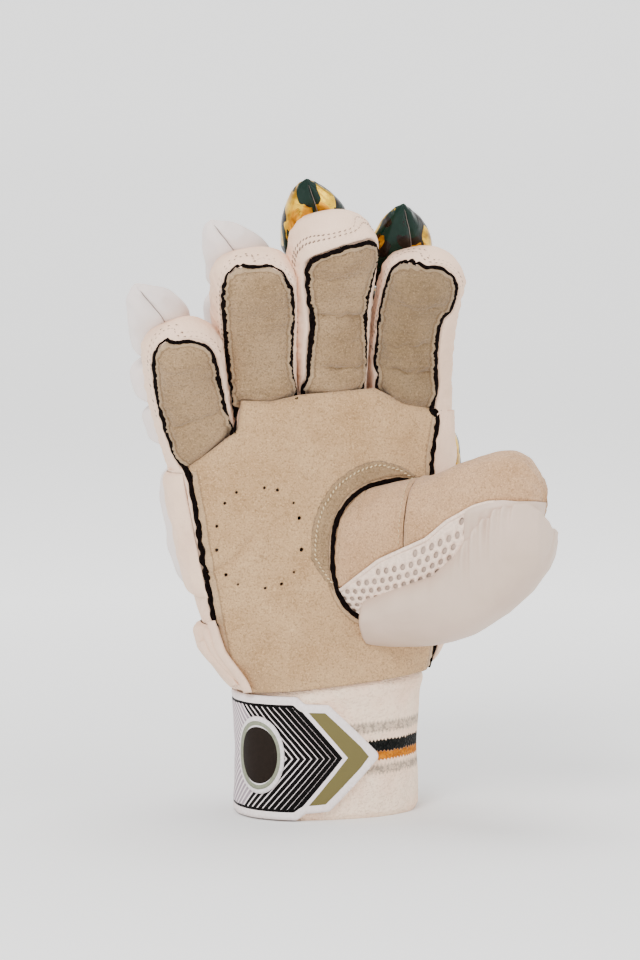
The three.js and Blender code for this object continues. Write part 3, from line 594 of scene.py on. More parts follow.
def fill(outline, holes, step, lines=()):
    """Triangles over an outline with holes in it, and each corner's distance from the nearest edge."""
    loops = [loop(outline, 0.8 * step)] + [np.asarray(hole) for hole in holes]
    corners = [tuple(p) for ring in loops for p in ring]
    edges, start = [], 0
    for ring in loops:
        edges += [(start + k, start + (k + 1) % len(ring)) for k in range(len(ring))]
        start += len(ring)
    border = np.array(corners)
    for line in lines:
        line = resample(line, 0.8 * step)
        edges += [(start + k, start + k + 1) for k in range(len(line) - 1)]
        start += len(line)
        corners += [tuple(p) for p in line]
    lowest, highest = border.min(axis=0), border.max(axis=0)
    u, v = np.meshgrid(np.arange(lowest[0], highest[0], step), np.arange(lowest[1], highest[1], step))
    u = u + (np.arange(len(v)) % 2)[:, None] * step / 2
    u, v = u.ravel(), v.ravel()
    keep = inside(loops[0], u, v)
    for hole in loops[1:]:
        keep &= ~inside(hole, u, v)
    u, v = u[keep], v[keep]
    keep = nearest(u, v, np.array(corners)) > 0.5 * step
    corners += list(zip(u[keep], v[keep]))
    found = delaunay_2d_cdt([Vector(p) for p in corners], edges, [], 0, 1e-6)
    flat = np.array([tuple(p) for p in found[0]])
    triangles = np.array([tuple(face) for face in found[2] if len(face) == 3])
    middle = flat[triangles].mean(axis=1)
    keep = inside(loops[0], middle[:, 0], middle[:, 1])
    for hole in loops[1:]:
        keep &= ~inside(hole, middle[:, 0], middle[:, 1])
    triangles = triangles[keep]
    used, triangles = np.unique(triangles, return_inverse=True)
    flat = flat[used]
    return flat, triangles.reshape(-1, 3), nearest(flat[:, 0], flat[:, 1], border)


def nearest(u, v, border):
    result = np.empty(len(u))
    for start in range(0, len(u), 2000):
        here = slice(start, start + 2000)
        result[here] = np.hypot(u[here, None] - border[:, 0], v[here, None] - border[:, 1]).min(axis=1)
    return result


def panel(name, filled, place, lift, wall, look, pattern=None):
    """A wall over a filled outline, set on a surface; the lift is how far its face stands out."""
    flat, triangles, _ = filled
    outer = place(flat[:, 0], flat[:, 1], lift)
    inner = place(flat[:, 0], flat[:, 1], np.minimum(lift - 0.3, -wall))
    count = len(flat)
    a, b, c = (outer[triangles[:, k]] for k in range(3))
    facing = np.cross(b - a, c - a)
    out = place(flat[:, 0], flat[:, 1], np.asarray(lift) + 1) - outer
    if (facing * out[triangles[:, 0]]).sum() < 0:
        triangles = triangles[:, ::-1]
    sides = np.vstack([triangles[:, [0, 1]], triangles[:, [1, 2]], triangles[:, [2, 0]]])
    keys = np.sort(sides, axis=1)
    _, first, times = np.unique(keys, axis=0, return_index=True, return_counts=True)
    rim = sides[first[times == 1]]
    faces = list(triangles) + list(triangles[:, ::-1] + count)
    faces += [(q, p, p + count, q + count) for p, q in rim]
    if pattern is not None:
        pattern = np.vstack([pattern, pattern])
    make(name, np.vstack([outer, inner]), faces, look, pattern)


def along_line(place, line, lift):
    """Places, outward directions and forward directions along a line on a surface."""
    at = place(line[:, 0], line[:, 1], lift)
    out = place(line[:, 0], line[:, 1], lift + 0.5) - at
    return at, unit(out), unit(np.gradient(at, axis=0), 1e-9)


def strip(at, out, ahead, width, height, sides=7):
    """The rings of a rounded strip that follows a line."""
    beside = np.cross(ahead, out)
    width, height = (np.broadcast_to(size, len(at))[:, None] for size in (width, height))
    arch = [at + beside * (width / 2 * math.cos(turn)) + out * (height * math.sin(turn) ** 0.7)
            for turn in np.linspace(0, math.pi, sides)]
    return np.stack(arch + [at - out * 0.4], axis=1)


def ribbon(name, lines, look):
    """One piece of several rounded strips, each given by its rings."""
    places, faces, start = [], [], 0
    for rings in lines:
        rows, columns = rings.shape[:2]
        places.append(rings.reshape(-1, 3))
        faces += [tuple(f) for f in grid_faces(rows, columns, True, True, start)]
        faces.append(tuple(start + k for k in range(columns)))
        faces.append(tuple(start + (rows - 1) * columns + k for k in reversed(range(columns))))
        start += rows * columns
    make(name, np.vstack(places), faces, look)


def dashes(name, rows, look, size):
    """Short threads or slits set out along lines; each row is (at, out, ahead, slant)."""
    length, width, height = size
    places, faces, start = [], [], 0
    shape = [(-1, 0, 0), (-0.6, -1, 0.1), (-0.6, 1, 0.1), (0, 0, 1), (0.6, -1, 0.1), (0.6, 1, 0.1), (1, 0, 0)]
    sides = [(0, 1, 3), (0, 3, 2), (1, 4, 3), (4, 6, 3), (6, 5, 3),
             (5, 2, 3), (0, 2, 1), (1, 2, 4), (2, 5, 4), (4, 5, 6)]
    for at, out, ahead, slant in rows:
        beside = np.cross(out, ahead)
        forward = ahead * math.cos(slant) + beside * math.sin(slant)
        across = np.cross(out, forward)
        for a, b, c in shape:
            places.append(at + forward * (a * length / 2) + across * (b * width / 2) + out * (c * height))
        count = len(at)
        for k in range(count):
            faces += [tuple(start + corner * count + k for corner in side) for side in sides]
        start += count * len(shape)
    make(name, np.vstack(places), faces, look)


# Materials

class Surface:
    """A short way to write a material's nodes."""

    def __init__(self, name):
        self.material = bpy.data.materials.new(name)
        self.material.use_nodes = True
        self.tree = self.material.node_tree
        self.shader = self.tree.nodes["Principled BSDF"]
        self.place = self.add("ShaderNodeTexCoord").outputs["Object"]

    def add(self, kind, settings=None, **inputs):
        node = self.tree.nodes.new(kind)
        for key, value in (settings or {}).items():
            setattr(node, key, value)
        for key, value in inputs.items():
            self.put(node.inputs[int(key[1:]) if key[1:].isdigit() else key.replace("_", " ")], value)
        return node

    def put(self, socket, value):
        if isinstance(value, bpy.types.NodeSocket):
            self.tree.links.new(value, socket)
        else:
            socket.default_value = value

    def set(self, **values):
        """Sets the shader's own sockets."""
        for name, value in values.items():
            self.put(self.shader.inputs[name.replace("_", " ")], value)

    def math(self, operation, a, b=0.0):
        return self.add("ShaderNodeMath", {"operation": operation}, _0=a, _1=b).outputs[0]

    def noise(self, scale, detail=3.0, rough=0.55, stretch=None, distort=0.0):
        place = self.place
        if stretch:
            place = self.add("ShaderNodeMapping", Vector=place, Scale=stretch).outputs[0]
        return self.add("ShaderNodeTexNoise", Vector=place, Scale=scale, Detail=detail, Roughness=rough,
                        Distortion=distort).outputs["Fac"]

    def distance(self, place):
        """How far a place of the surface lies from a given one, in metres."""
        made = self.add("ShaderNodeVectorMath", {"operation": "DISTANCE"}, _0=self.place, _1=place)
        return made.outputs["Value"]

    def ramp(self, value, low_edge, high_edge, low_value=0.0, high_value=1.0, kind="SMOOTHSTEP"):
        made = self.add("ShaderNodeMapRange", {"interpolation_type": kind}, _0=value, _1=low_edge,
                        _2=high_edge, _3=low_value, _4=high_value)
        return made.outputs[0]

    def mix(self, share, a, b):
        made = self.add("ShaderNodeMix", {"data_type": "RGBA"}, Factor=share)
        self.put(made.inputs[6], a)
        self.put(made.inputs[7], b)
        return made.outputs[2]

    def bump(self, height, strength, distance=0.001, normal=None):
        made = self.add("ShaderNodeBump", Height=height, Strength=strength, Distance=distance)
        if normal is not None:
            self.put(made.inputs["Normal"], normal)
        return made.outputs[0]

    def pattern(self):
        """The pair of numbers that a piece's mesh carries at each of its places."""
        uv = self.add("ShaderNodeUVMap", {"uv_map": "pattern"}).outputs[0]
        return self.add("ShaderNodeSeparateXYZ", Vector=uv).outputs[:2]

    def finish(self, tone, roughness, normal, metallic=0.0, sheen=0.0, coat=0.0, specular=0.5):
        self.set(Base_Color=tone, Roughness=roughness, Normal=normal, Metallic=metallic, Sheen_Weight=sheen,
                 Sheen_Roughness=0.5, Coat_Weight=coat, Coat_Roughness=0.12, Specular_IOR_Level=specular)
        return self.material


COLOUR_STRENGTH = 1.75
LEAST_LIGHT, MOST_LIGHT = 0.001, 0.95


def colour(red, green, blue):
    """Linear light from screen values out of 255, made stronger because soft light pales it."""
    light = [((c / 255 + 0.055) / 1.055) ** 2.4 if c > 10 else c / 255 / 12.92 for c in (red, green, blue)]
    grey = 0.21 * light[0] + 0.72 * light[1] + 0.07 * light[2]
    light = [min(max(grey + COLOUR_STRENGTH * (c - grey), LEAST_LIGHT), MOST_LIGHT) for c in light]
    return (*light, 1.0)


def scaled(tone, share):
    """A tone made darker or paler."""
    return (*(min(c * share, MOST_LIGHT) for c in tone[:3]), 1.0)


def suede(name, *tones):
    """Brushed suede; the pattern's first number is the distance from the raw edge."""
    s = Surface(name)
    main, dark, pale = (colour(*tone) for tone in tones)
    cloud = s.noise(38, 4)
    brushed = s.noise(520, 5, 0.65, stretch=(0.4, 0.4, 1.8))
    grain = s.noise(1150, 3, 0.7)
    speck = s.noise(1700, 2)
    tone = s.mix(s.ramp(cloud, 0.30, 0.70), dark, pale)
    tone = s.mix(s.ramp(brushed, 0.28, 0.72, 0.05, 0.75), tone, main)
    tone = s.mix(s.ramp(grain, 0.54, 0.34, 0.0, 0.65), tone, scaled(dark, 0.62))
    tone = s.mix(s.ramp(speck, 0.54, 0.70, 0.0, 0.6), tone, scaled(pale, 1.3))
    edge, _ = s.pattern()
    frayed = s.math("ADD", edge, s.math("MULTIPLY", s.math("SUBTRACT", grain, 0.5), 1.6))
    tone = s.mix(s.ramp(frayed, 1.7, 1.3, 0.0, 0.3), tone, colour(176, 162, 146))
    # Painted shade: a dark line along the groove that runs near the raw edge.
    groove = s.math("ABSOLUTE", s.math("SUBTRACT", frayed, 1.8))
    tone = s.mix(s.ramp(groove, 0.5, 0.1, 0.0, 0.55), tone, colour(96, 82, 70))
    rough_map = s.math("ADD", s.math("MULTIPLY", brushed, 0.8), s.math("MULTIPLY", grain, 0.8))
    return s.finish(tone, 0.95, s.bump(rough_map, 0.8, 0.0008), sheen=0.2, specular=0.2)


def leather(name, main, shade, roughness, bump, wrinkle):
    """Smooth leather with pores and soft wrinkles."""
    s = Surface(name)
    cloud = s.noise(30, 3)
    pores = s.add("ShaderNodeTexVoronoi", {"feature": "DISTANCE_TO_EDGE"}, Vector=s.place, Scale=900)
    soft = s.noise(110, 3, distort=0.8)
    tone = s.mix(s.ramp(cloud, 0.35, 0.7, 0.0, 0.6), colour(*main), colour(*shade))
    normal = s.bump(s.ramp(pores.outputs[0], 0.0, 0.25), bump, 0.0002)
    normal = s.bump(soft, wrinkle, 0.0012, normal)
    return s.finish(tone, s.ramp(cloud, 0.2, 0.8, roughness - 0.05, roughness + 0.07, "LINEAR"), normal)


# Where the foil gathers, in metres: its place, inner and outer reach, then how much there and away
GOLD_SPOTS = (((-0.023, 0.012, 0.255), 0.006, 0.020, 0.14, -0.012),
              ((0.024, 0.010, 0.247), 0.003, 0.011, 0.09, 0.0))


def camouflage():
    """Three colours in large patches with crisp edges; the gold is foil, most of it on one tip."""
    s = Surface("camouflage")
    first = s.noise(44, 2.5, 0.5, stretch=(1.0, 1.0, 0.7), distort=1.6)
    place = s.add("ShaderNodeMapping", Vector=s.place, Location=(0.31, 0.17, 0.08)).outputs[0]
    second = s.add("ShaderNodeTexNoise", Vector=place, Scale=52.0, Detail=1.5, Distortion=1.6).outputs["Fac"]
    for spot, inner, outer, much, little in GOLD_SPOTS:
        first = s.math("ADD", first, s.ramp(s.distance(spot), inner, outer, much, little))
    gold = s.ramp(first, 0.510, 0.515)
    green = s.ramp(second, 0.490, 0.495)
    crinkle = s.noise(120, 3, distort=0.6)
    tone = s.mix(green, colour(16, 10, 7), colour(7, 27, 22))
    foil = s.mix(s.ramp(crinkle, 0.35, 0.65), colour(140, 112, 66), colour(218, 190, 136))
    tone = s.mix(gold, tone, foil)
    return s.finish(tone, s.ramp(gold, 0, 1, 0.26, 0.16, "LINEAR"), s.bump(crinkle, 0.45, 0.0012),
                    metallic=s.ramp(gold, 0, 1, 0.0, 1.0, "LINEAR"), coat=0.12, specular=0.12)


def binding_cloth():
    """Matt black tape with a fibrous edge."""
    s = Surface("binding")
    fibre = s.noise(1400, 4, 0.7)
    tone = s.mix(s.ramp(fibre, 0.45, 0.85), colour(6, 4, 4), colour(34, 27, 25))
    return s.finish(tone, 0.92, s.bump(fibre, 0.8, 0.0005), specular=0.04)


def plain(name, tone, roughness, bump=0.3, specular=0.3):
    """One finely grained tone, for threads and small trims."""
    s = Surface(name)
    grain = s.noise(900, 3)
    tone = colour(*tone)
    tone = s.mix(s.ramp(grain, 0.35, 0.65), scaled(tone, 0.82), tone)
    return s.finish(tone, roughness, s.bump(grain, bump, 0.0004), specular=specular)


# Heights on the cuff in millimetres
GREY_STRIPES = ((19.0, 22.6), (36.6, 41.0))
ORANGE_STRIPE = (24.6, 28.1)
BLACK_STRIPE = (28.1, 33.2)


def towelling():
    """Knitted loops with four stripes; the pattern's second number is millimetres up the knit."""
    s = Surface("towel")
    around, up = s.pattern()
    loops = s.add("ShaderNodeTexVoronoi", Vector=s.place, Scale=820.0).outputs["Distance"]
    rough_loops = s.noise(600, 4, 0.7)
    cloud = s.noise(60, 3)
    zigzag = s.math("PINGPONG", around, 0.9)
    jitter = s.math("MULTIPLY", s.math("SUBTRACT", rough_loops, 0.5), 2.2)
    edge = s.math("ADD", up, s.math("ADD", zigzag, jitter))

    def band(start, end, soft):
        rise = s.ramp(edge, start - soft, start + soft)
        return s.math("MULTIPLY", rise, s.ramp(edge, end - soft, end + soft, 1.0, 0.0))

    tone = s.mix(s.ramp(cloud, 0.3, 0.7), colour(234, 213, 198), colour(243, 225, 211))
    speck = s.ramp(rough_loops, 0.42, 0.60)
    tone = s.mix(s.ramp(rough_loops, 0.50, 0.36, 0.0, 0.22), tone, colour(196, 178, 164))
    for stripe in GREY_STRIPES:
        share = s.math("MULTIPLY", band(*stripe, 0.9), s.ramp(speck, 0, 1, 0.5, 0.95))
        tone = s.mix(share, tone, colour(142, 134, 126))
    tone = s.mix(band(*ORANGE_STRIPE, 0.2), tone, s.mix(speck, colour(138, 94, 30), colour(174, 126, 52)))
    tone = s.mix(band(*BLACK_STRIPE, 0.2), tone, s.mix(speck, colour(4, 5, 5), colour(20, 20, 19)))
    height = s.math("ADD", s.ramp(loops, 0.0, 0.6, 1.0, 0.0), s.math("MULTIPLY", rough_loops, 0.8))
    return s.finish(tone, 0.98, s.bump(height, 0.6, 0.0008), sheen=0.1, specular=0.05)


# Millimetres on the strap: bands and chevrons from its point, the border and the seam from its edge
OLIVE_BAND = (4.2, 13.2)
CHEVRON_START, CHEVRON_PITCH = 15.3, 2.55
BLACK_CHEVRONS_END = (36.0, 40.5)
BORDER, BORDER_LINE = 3.3, 4.9


def strap_print():
    """Nested chevrons; the pattern's numbers are millimetres from the point and from the edge."""
    s = Surface("strap")
    back, edge = s.pattern()
    white, lilac = colour(226, 219, 219), colour(150, 142, 147)
    black, olive = colour(6, 5, 5), colour(100, 95, 77)
    cycle = s.math("FRACT", s.math("DIVIDE", s.math("SUBTRACT", back, CHEVRON_START), CHEVRON_PITCH))
    stripe = s.math("LESS_THAN", cycle, s.ramp(back, 17.0, 44.0, 0.97, 0.62, "LINEAR"))
    dark_part = s.math("GREATER_THAN", s.ramp(back, *BLACK_CHEVRONS_END, 1.0, 0.0, "LINEAR"), 0.15)
    tone = s.mix(stripe, white, s.mix(dark_part, lilac, black))
    field = s.math("GREATER_THAN", back, CHEVRON_START)
    band = s.math("MULTIPLY", s.math("GREATER_THAN", back, OLIVE_BAND[0]),
                  s.math("LESS_THAN", back, OLIVE_BAND[1]))
    tone = s.mix(field, s.mix(band, white, olive), tone)
    fine = s.noise(900, 3)
    line = s.math("MULTIPLY", s.math("GREATER_THAN", edge, BORDER),
                  s.math("LESS_THAN", s.math("ADD", edge, fine), BORDER_LINE))
    tone = s.mix(s.math("MULTIPLY", line, field), tone, black)
    border = s.mix(s.ramp(fine, 0.3, 0.7), colour(224, 216, 214), colour(234, 228, 227))
    tone = s.mix(s.math("LESS_THAN", edge, BORDER), tone, border)
    return s.finish(tone, 0.5, s.bump(fine, 0.12, 0.0003), specular=0.06)


# Looks: each is a material and its slot

SUEDE = suede("suede", (175, 153, 132), (150, 129, 109), (186, 165, 144)), "suede"
FINGER_SUEDE = suede("finger_suede", (141, 124, 107), (115, 100, 85), (153, 137, 120)), "suede"
# The index finger's panel has its own darker copy of the finger suede: painted shade for the shadow that
# falls on that side.
SHADED_INDEX_SUEDE = suede("index_finger_suede_painted_shade", (126, 111, 96), (103, 90, 76), (138, 124, 108)), "suede"
THUMB_SUEDE = suede("thumb_suede", (180, 156, 136), (158, 135, 116), (191, 168, 149)), "suede"
GUSSET = leather("gusset", (229, 208, 193), (207, 185, 170), 0.6, 0.5, 0.4), "gusset"
WHITE = leather("white_leather", (227, 220, 217), (212, 204, 201), 0.45, 0.10, 0.12), "white"
GUARD_WHITE = leather("guard_leather", (198, 183, 173), (180, 165, 154), 0.45, 0.10, 0.3), "white"
CAMOUFLAGE = camouflage(), "camouflage"
BINDING_CLOTH = binding_cloth(), "binding"
MESH = plain("mesh", (234, 218, 207), 0.8), "mesh"
# The mesh's backing is grey: painted shade for the dim inside that shows through the holes.
SHADED_MESH_BACKING = plain("mesh_backing", (176, 163, 155), 0.9), "mesh"
TOWELLING = towelling(), "towel"
STRAP = strap_print(), "strap"
BADGE_DARK = plain("badge_dark", (26, 21, 18), 0.5, 0.15, 0.1), "badge"
BADGE_RIM = plain("badge_rim", (132, 134, 122), 0.4, 0.1), "badge"
BADGE_EDGE = plain("badge_edge", (226, 221, 221), 0.42, 0.1), "badge"
THREAD = plain("thread", (216, 202, 180), 0.8), "suede"
# Slits are drawn as dark dashes: their tone is painted shade for the inside of the cuts.
SLIT_SHADE = plain("slit_painted_shade", (122, 108, 100), 0.9), "gusset"
DARK_LINE = plain("dark_line", (128, 119, 116), 0.9)
ROLL_LOOKS = {"middle": CAMOUFLAGE, "index": CAMOUFLAGE, "ring": WHITE, "pinky": WHITE}

# Fingers

LINE_STEP = 0.6
PANEL_TUCK = 4.0
FOOT_STEPS = 6


def panel_side(finger, side):
    """A panel's side from the crease up to where its end starts to round."""
    rows, shoulder = finger["rows"], finger["end"][0]
    foot = 2.0
    for _ in range(6):
        foot += 0.8 * float(crease_along(finger, np.array([read(rows, foot, side)]))[0] - foot)
    along = np.linspace(foot - PANEL_TUCK, shoulder, 90)
    return points(read(rows, along, side), along)


def panel_outline(finger, margin=0.0, wobble=0.0):
    """The panel's outline from its right foot, over the top, to its left foot."""
    shoulder, rise, tilt = finger["end"]
    left, right = panel_side(finger, "left"), panel_side(finger, "right")
    middle, half = (right[-1, 0] + left[-1, 0]) / 2, (right[-1, 0] - left[-1, 0]) / 2
    lift = np.linspace(0, math.pi, 60)[1:-1]
    top = points(middle + half * np.cos(lift), shoulder + (rise + tilt * np.cos(lift)) * np.sin(lift) ** 0.9)
    line = resample(np.vstack([right, top, left[::-1]]), LINE_STEP)
    seed = 300 + int(10 * finger_span(finger))
    walked = np.arange(len(line)) * LINE_STEP
    shift = margin + wobble * (0.65 * ripple(seed, 8.0, walked) + 0.15 * ripple(seed + 1, 3.0, walked))
    ahead = unit(np.gradient(line, axis=0))
    return line + np.broadcast_to(shift, len(line))[:, None] * points(ahead[:, 1], -ahead[:, 0])


def outside_of(line, u, v):
    """The distance from a closed line, below zero within it."""
    shape = u.shape
    gap = nearest(u.ravel(), v.ravel(), line).reshape(shape)
    return np.where(inside(line, u, v), -gap, gap)


def finger_gusset(finger):
    length = finger_span(finger)
    end = length - finger["dome"] + finger_meridian(finger) * math.pi / 2
    along = np.linspace(-0.16 * length, end, 112)[:, None]
    turns = np.linspace(-math.pi, math.pi, 133)[:-1][None, :]
    station, shrink = finger_station(finger, along)
    across = finger_arc(finger, station, turns) * shrink
    outline = panel_outline(finger)
    foot = np.array([[outline[-1, 0], -40.0], [outline[0, 0], -40.0]])
    outside = outside_of(np.vstack([outline, foot]), across, along + 0 * across)
    seed = 31 + int(length)
    lip = -2.4 + 3.0 * smooth(2.0, 3.3, outside) - 0.45 * smooth(4.0, 7.5, outside)
    folds = 0.22 * ripple(seed, 10.0, across, along * 1.8)
    folds = folds + 0.10 * ripple(seed + 1, 3.6, across * 0.5, along * 1.9)
    rise = lip + smooth(3.0, 7.0, outside) * folds
    outer = finger_skin(finger, station, turns, rise, shrink)
    inner = finger_skin(finger, station, turns, -LEATHER, shrink)
    tube(finger["name"] + "_gusset", outer, inner, GUSSET)


def finger_creases(finger, across, along):
    """Folds across the palm-side panel, with soft swells between them."""
    seed = int(finger_span(finger) * 3)
    depth = np.zeros(across.shape)
    for number, (place, slope, strength) in enumerate(finger["creases"]):
        line = along - place - slope * (across + 4) - 0.5 * ripple(seed + number, 9.0, across)
        fade = np.clip(0.75 + 0.4 * ripple(seed + 9 + number, 16.0, across), 0.1, 1)
        shape = valley(line, 0.75) + 0.5 * valley(line, 2.2) - 0.5 * valley(line - 5, 3.5)
        depth += strength * fade * shape
    return depth


def finger_panel(finger):
    name = finger["name"]
    outline = panel_outline(finger, 0.4, 0.5)
    foot = np.linspace(outline[-1, 0], outline[0, 0], 24)[1:-1]
    foot = points(foot, crease_along(finger, foot) - PANEL_TUCK)
    filled = fill(np.vstack([outline, foot]), [], 0.9)
    across, along = filled[0].T
    rim = nearest(across, along, outline)
    from_foot = along - crease_along(finger, across)
    lift = 0.35 + 0.6 * valley(rim - 0.9, 0.7) - 0.5 * valley(rim - 1.9, 0.5)
    lift -= 0.35 * (1 - smooth(0, 0.8, rim))
    lift += 0.25 * ripple(7, 2.4, across, along) * (1 - smooth(0.6, 2.6, rim))
    lift += 0.30 * ripple(11, 15, across, along) + 0.10 * ripple(12, 4.5, across * 0.6, along * 1.5)
    lift -= 1.6 * finger_creases(finger, across, along) * (0.35 + 0.65 * smooth(0.5, 4.0, rim))
    lift += 1.0 * valley(from_foot - 6.0, 4.5) - 3.2 * (1 - smooth(-PANEL_TUCK, 2.6, from_foot))
    # The index finger's panel takes the darker copy of the finger suede, which is painted shade.
    look = SHADED_INDEX_SUEDE if name == "index" else FINGER_SUEDE
    panel(name + "_suede", filled, on_finger(finger), lift, LEATHER, look, points(rim, across))


# Where each binding ends between the fingers, by X and height on the palm: left, then right
WEBS = {"pinky": ((-56.8, 148.8), (-38.6, 164.2)), "ring": ((-37.4, 164.4), (-10.8, 178.0)),
        "middle": ((-10.2, 178.0), (19.6, 178.8)), "index": ((22.6, 178.8), (52.4, 171.6))}


def finger_binding(finger):
    """The strip round a panel, and its two feet at the webs beside the finger."""
    name = finger["name"]
    line = panel_outline(finger, 1.1, 0.3)
    at, out, _ = along_line(on_finger(finger), line, -0.15)
    left, right = WEBS[name]
    steps = np.linspace(0, 1, FOOT_STEPS + 1)[1:, None]
    feet = []
    for end, web in ((0, right), (-1, left)):
        goal = on_palm(np.array([web[0]]), np.array([web[1]]), 0.1)
        outward = out[end] + steps * (np.array([0, -1.0, 0]) - out[end])
        feet.append((at[end] + steps * (goal - at[end]), outward))
    at = np.vstack([feet[0][0][::-1], at, feet[1][0]])
    out = np.vstack([feet[0][1][::-1], out, feet[1][1]])
    walked = np.arange(len(at)) * LINE_STEP
    seed = int(finger_span(finger))
    along = np.pad(line[:, 1], FOOT_STEPS)
    on_end = smooth(finger["end"][0] - 2, finger["end"][0] + 5, along)
    width = 2.7 - 0.3 * on_end + 0.45 * ripple(seed, 10.0, walked)
    height = 1.0 + 0.12 * ripple(3 + seed, 3.0, walked)
    rings = strip(at, unit(out), unit(np.gradient(at, axis=0)), width, height)
    ribbon(name + "_binding", [rings], BINDING_CLOTH)


def finger_slit_shades(finger):
    """Two rows of small slits round the band past the panel's end, drawn as raised dashes whose dark tone is
    painted shade inside the cuts.
    """
    length = finger_span(finger)
    rows = []
    for margin in finger["stitches"]:
        line = panel_outline(finger, margin)[::-1]
        line = line[line[:, 1] > 0.35 * length]
        line = line[(line[:, 0] < line[:, 0].mean() + 8) | (line[:, 1] > finger["end"][0])]
        line = resample(line, 2.5)
        rows.append((*along_line(on_finger(finger), line, 0.42), 0.6))
    # The dashes' dark tone is painted shade inside the slits.
    dashes(finger["name"] + "_stitches", rows, SLIT_SHADE, (1.8, 0.70, 0.10))


def pad_section(sides):
    """The rounded section of a pad: how far across it and how far out from the hand."""
    angles = np.linspace(0, 2 * math.pi, sides + 1)[:-1]
    return signed_power(np.cos(angles), 0.85), np.maximum(signed_power(np.sin(angles), 0.8), 0)


def finger_roll(finger, number, start, end, share):
    length = finger_span(finger)
    across, up = pad_section(48)
    rings = []
    for a in np.linspace(0, 1, 34):
        along = (start + a * (end - start)) * length
        wide, deep = finger_section(finger, along)
        end_shape = max(1e-3, 1 - abs(2 * a - 1) ** 4) ** 0.5
        spread = ROLL_SPREAD * (wide + deep) * (0.90 + 0.10 * end_shape)
        turn = math.pi + finger_turn(finger, along + 0 * across, spread * across)
        swell = share * FINGER_ROLL * end_shape * up * 0.97
        wrinkle = 0.25 * ripple(number + int(length), 7, spread * across, along) * up
        rings.append(finger_skin(finger, along + 0 * across, turn, GAP + swell + wrinkle))
    closed(f"{finger['name']}_roll_{number}", np.array(rings), ROLL_LOOKS[finger["name"]])


TIP = table("along", ("width", "thick", "pull"), (0.00, 0.60, 0.40, 0.00), (0.02, 0.84, 0.62, 0.00),
            (0.10, 0.97, 0.90, 0.00), (0.36, 0.98, 0.98, 0.08), (0.55, 0.85, 0.88, 0.28),
            (0.75, 0.58, 0.62, 0.60), (0.90, 0.27, 0.31, 0.86), (0.98, 0.07, 0.09, 0.98),
            (1.00, 0.01, 0.02, 1.00))


def tip_surface(finger):
    """The last roll's surface by angle and share of its length."""
    length = finger_span(finger)
    start = 0.63 * length
    span = length + finger["overhang"] * FINGER_LENGTH - start
    thick = 0.59 * FINGER_ROLL
    width = finger["width"] * FINGER_WIDTH

    def place(turn, share, grow=0.0):
        along = start + share * span
        centre, side, palmar = finger_frame(finger, along)
        _, deep = finger_section(finger, along)
        pull = finger["point"] * read(TIP, share, "pull") * width
        wide = 0.42 * width * read(TIP, share, "width") + grow
        out = thick * read(TIP, share, "thick") + grow
        across = pull + wide * signed_power(np.sin(turn), 0.9)
        outward = out * signed_power(np.cos(turn), 0.9) - (deep + 0.55 * thick)
        return centre + across[..., None] * side + outward[..., None] * palmar
    return place


def tip_roll(finger):
    place = tip_surface(finger)
    turns = np.linspace(-math.pi, math.pi, 97)[:-1][None, :]
    shares = (1 - (1 - np.linspace(0, 1, 80)) ** 1.35)[:, None]
    seam_line = valley(turns, 0.07) + valley(np.abs(turns) - math.pi, 0.085)
    puff = 0.35 * valley(np.abs(turns) - 0.4, 0.25)
    folds = 0.28 * ripple(71 + int(finger_span(finger)), 1.3, turns, shares * 3)
    fade = 1 - smooth(0.88, 1.0, shares)
    grow = (puff + folds - 0.9 * seam_line) * fade
    rings = place(turns + 0 * shares, shares + 0 * turns, grow)
    look = ROLL_LOOKS[finger["name"]]
    closed(finger["name"] + "_roll_tip", rings, look)
    line = points(0, np.linspace(0.35, 0.97, 50))
    row = (*along_line(place, line, -0.5), 0.1)
    dashes(finger["name"] + "_roll_seam", [row], (DARK_LINE, look[1]), (0.9, 0.32, 0.12))


for each in FINGERS.values():
    finger_gusset(each)
    finger_panel(each)
    finger_binding(each)
    finger_slit_shades(each)
    finger_roll(each, 1, 0.04, 0.30, 0.80)
    finger_roll(each, 2, 0.33, 0.60, 0.92)
    tip_roll(each)

# Palm
PERFORATIONS = 14
PERFORATION_WIDTH, PERFORATION_HEIGHT = 35.2, 42
# Each fold has its depth, its width, the height of the swell beside it and its line in X and height
PALM_FOLDS = ((1.2, 1.6, 0.8, ((-48, 104), (-43, 107), (-36, 112), (-31, 119))),
              (0.35, 2.2, 0.0, ((-50, 134), (-40, 140), (-30, 141))),
              (0.5, 4.0, 0.0, ((-28, 72), (-5, 76), (18, 74))))


def perforation_places():
    turns = 2 * math.pi * (np.arange(PERFORATIONS) + 0.5) / PERFORATIONS
    turns = turns + np.random.default_rng(4).uniform(-0.09, 0.09, PERFORATIONS)
    return points(-0.222 * HAND_WIDTH + PERFORATION_WIDTH / 2 * signed_power(np.cos(turns), 0.8),
                  height_of(0.505) + PERFORATION_HEIGHT / 2 * signed_power(np.sin(turns), 0.8))


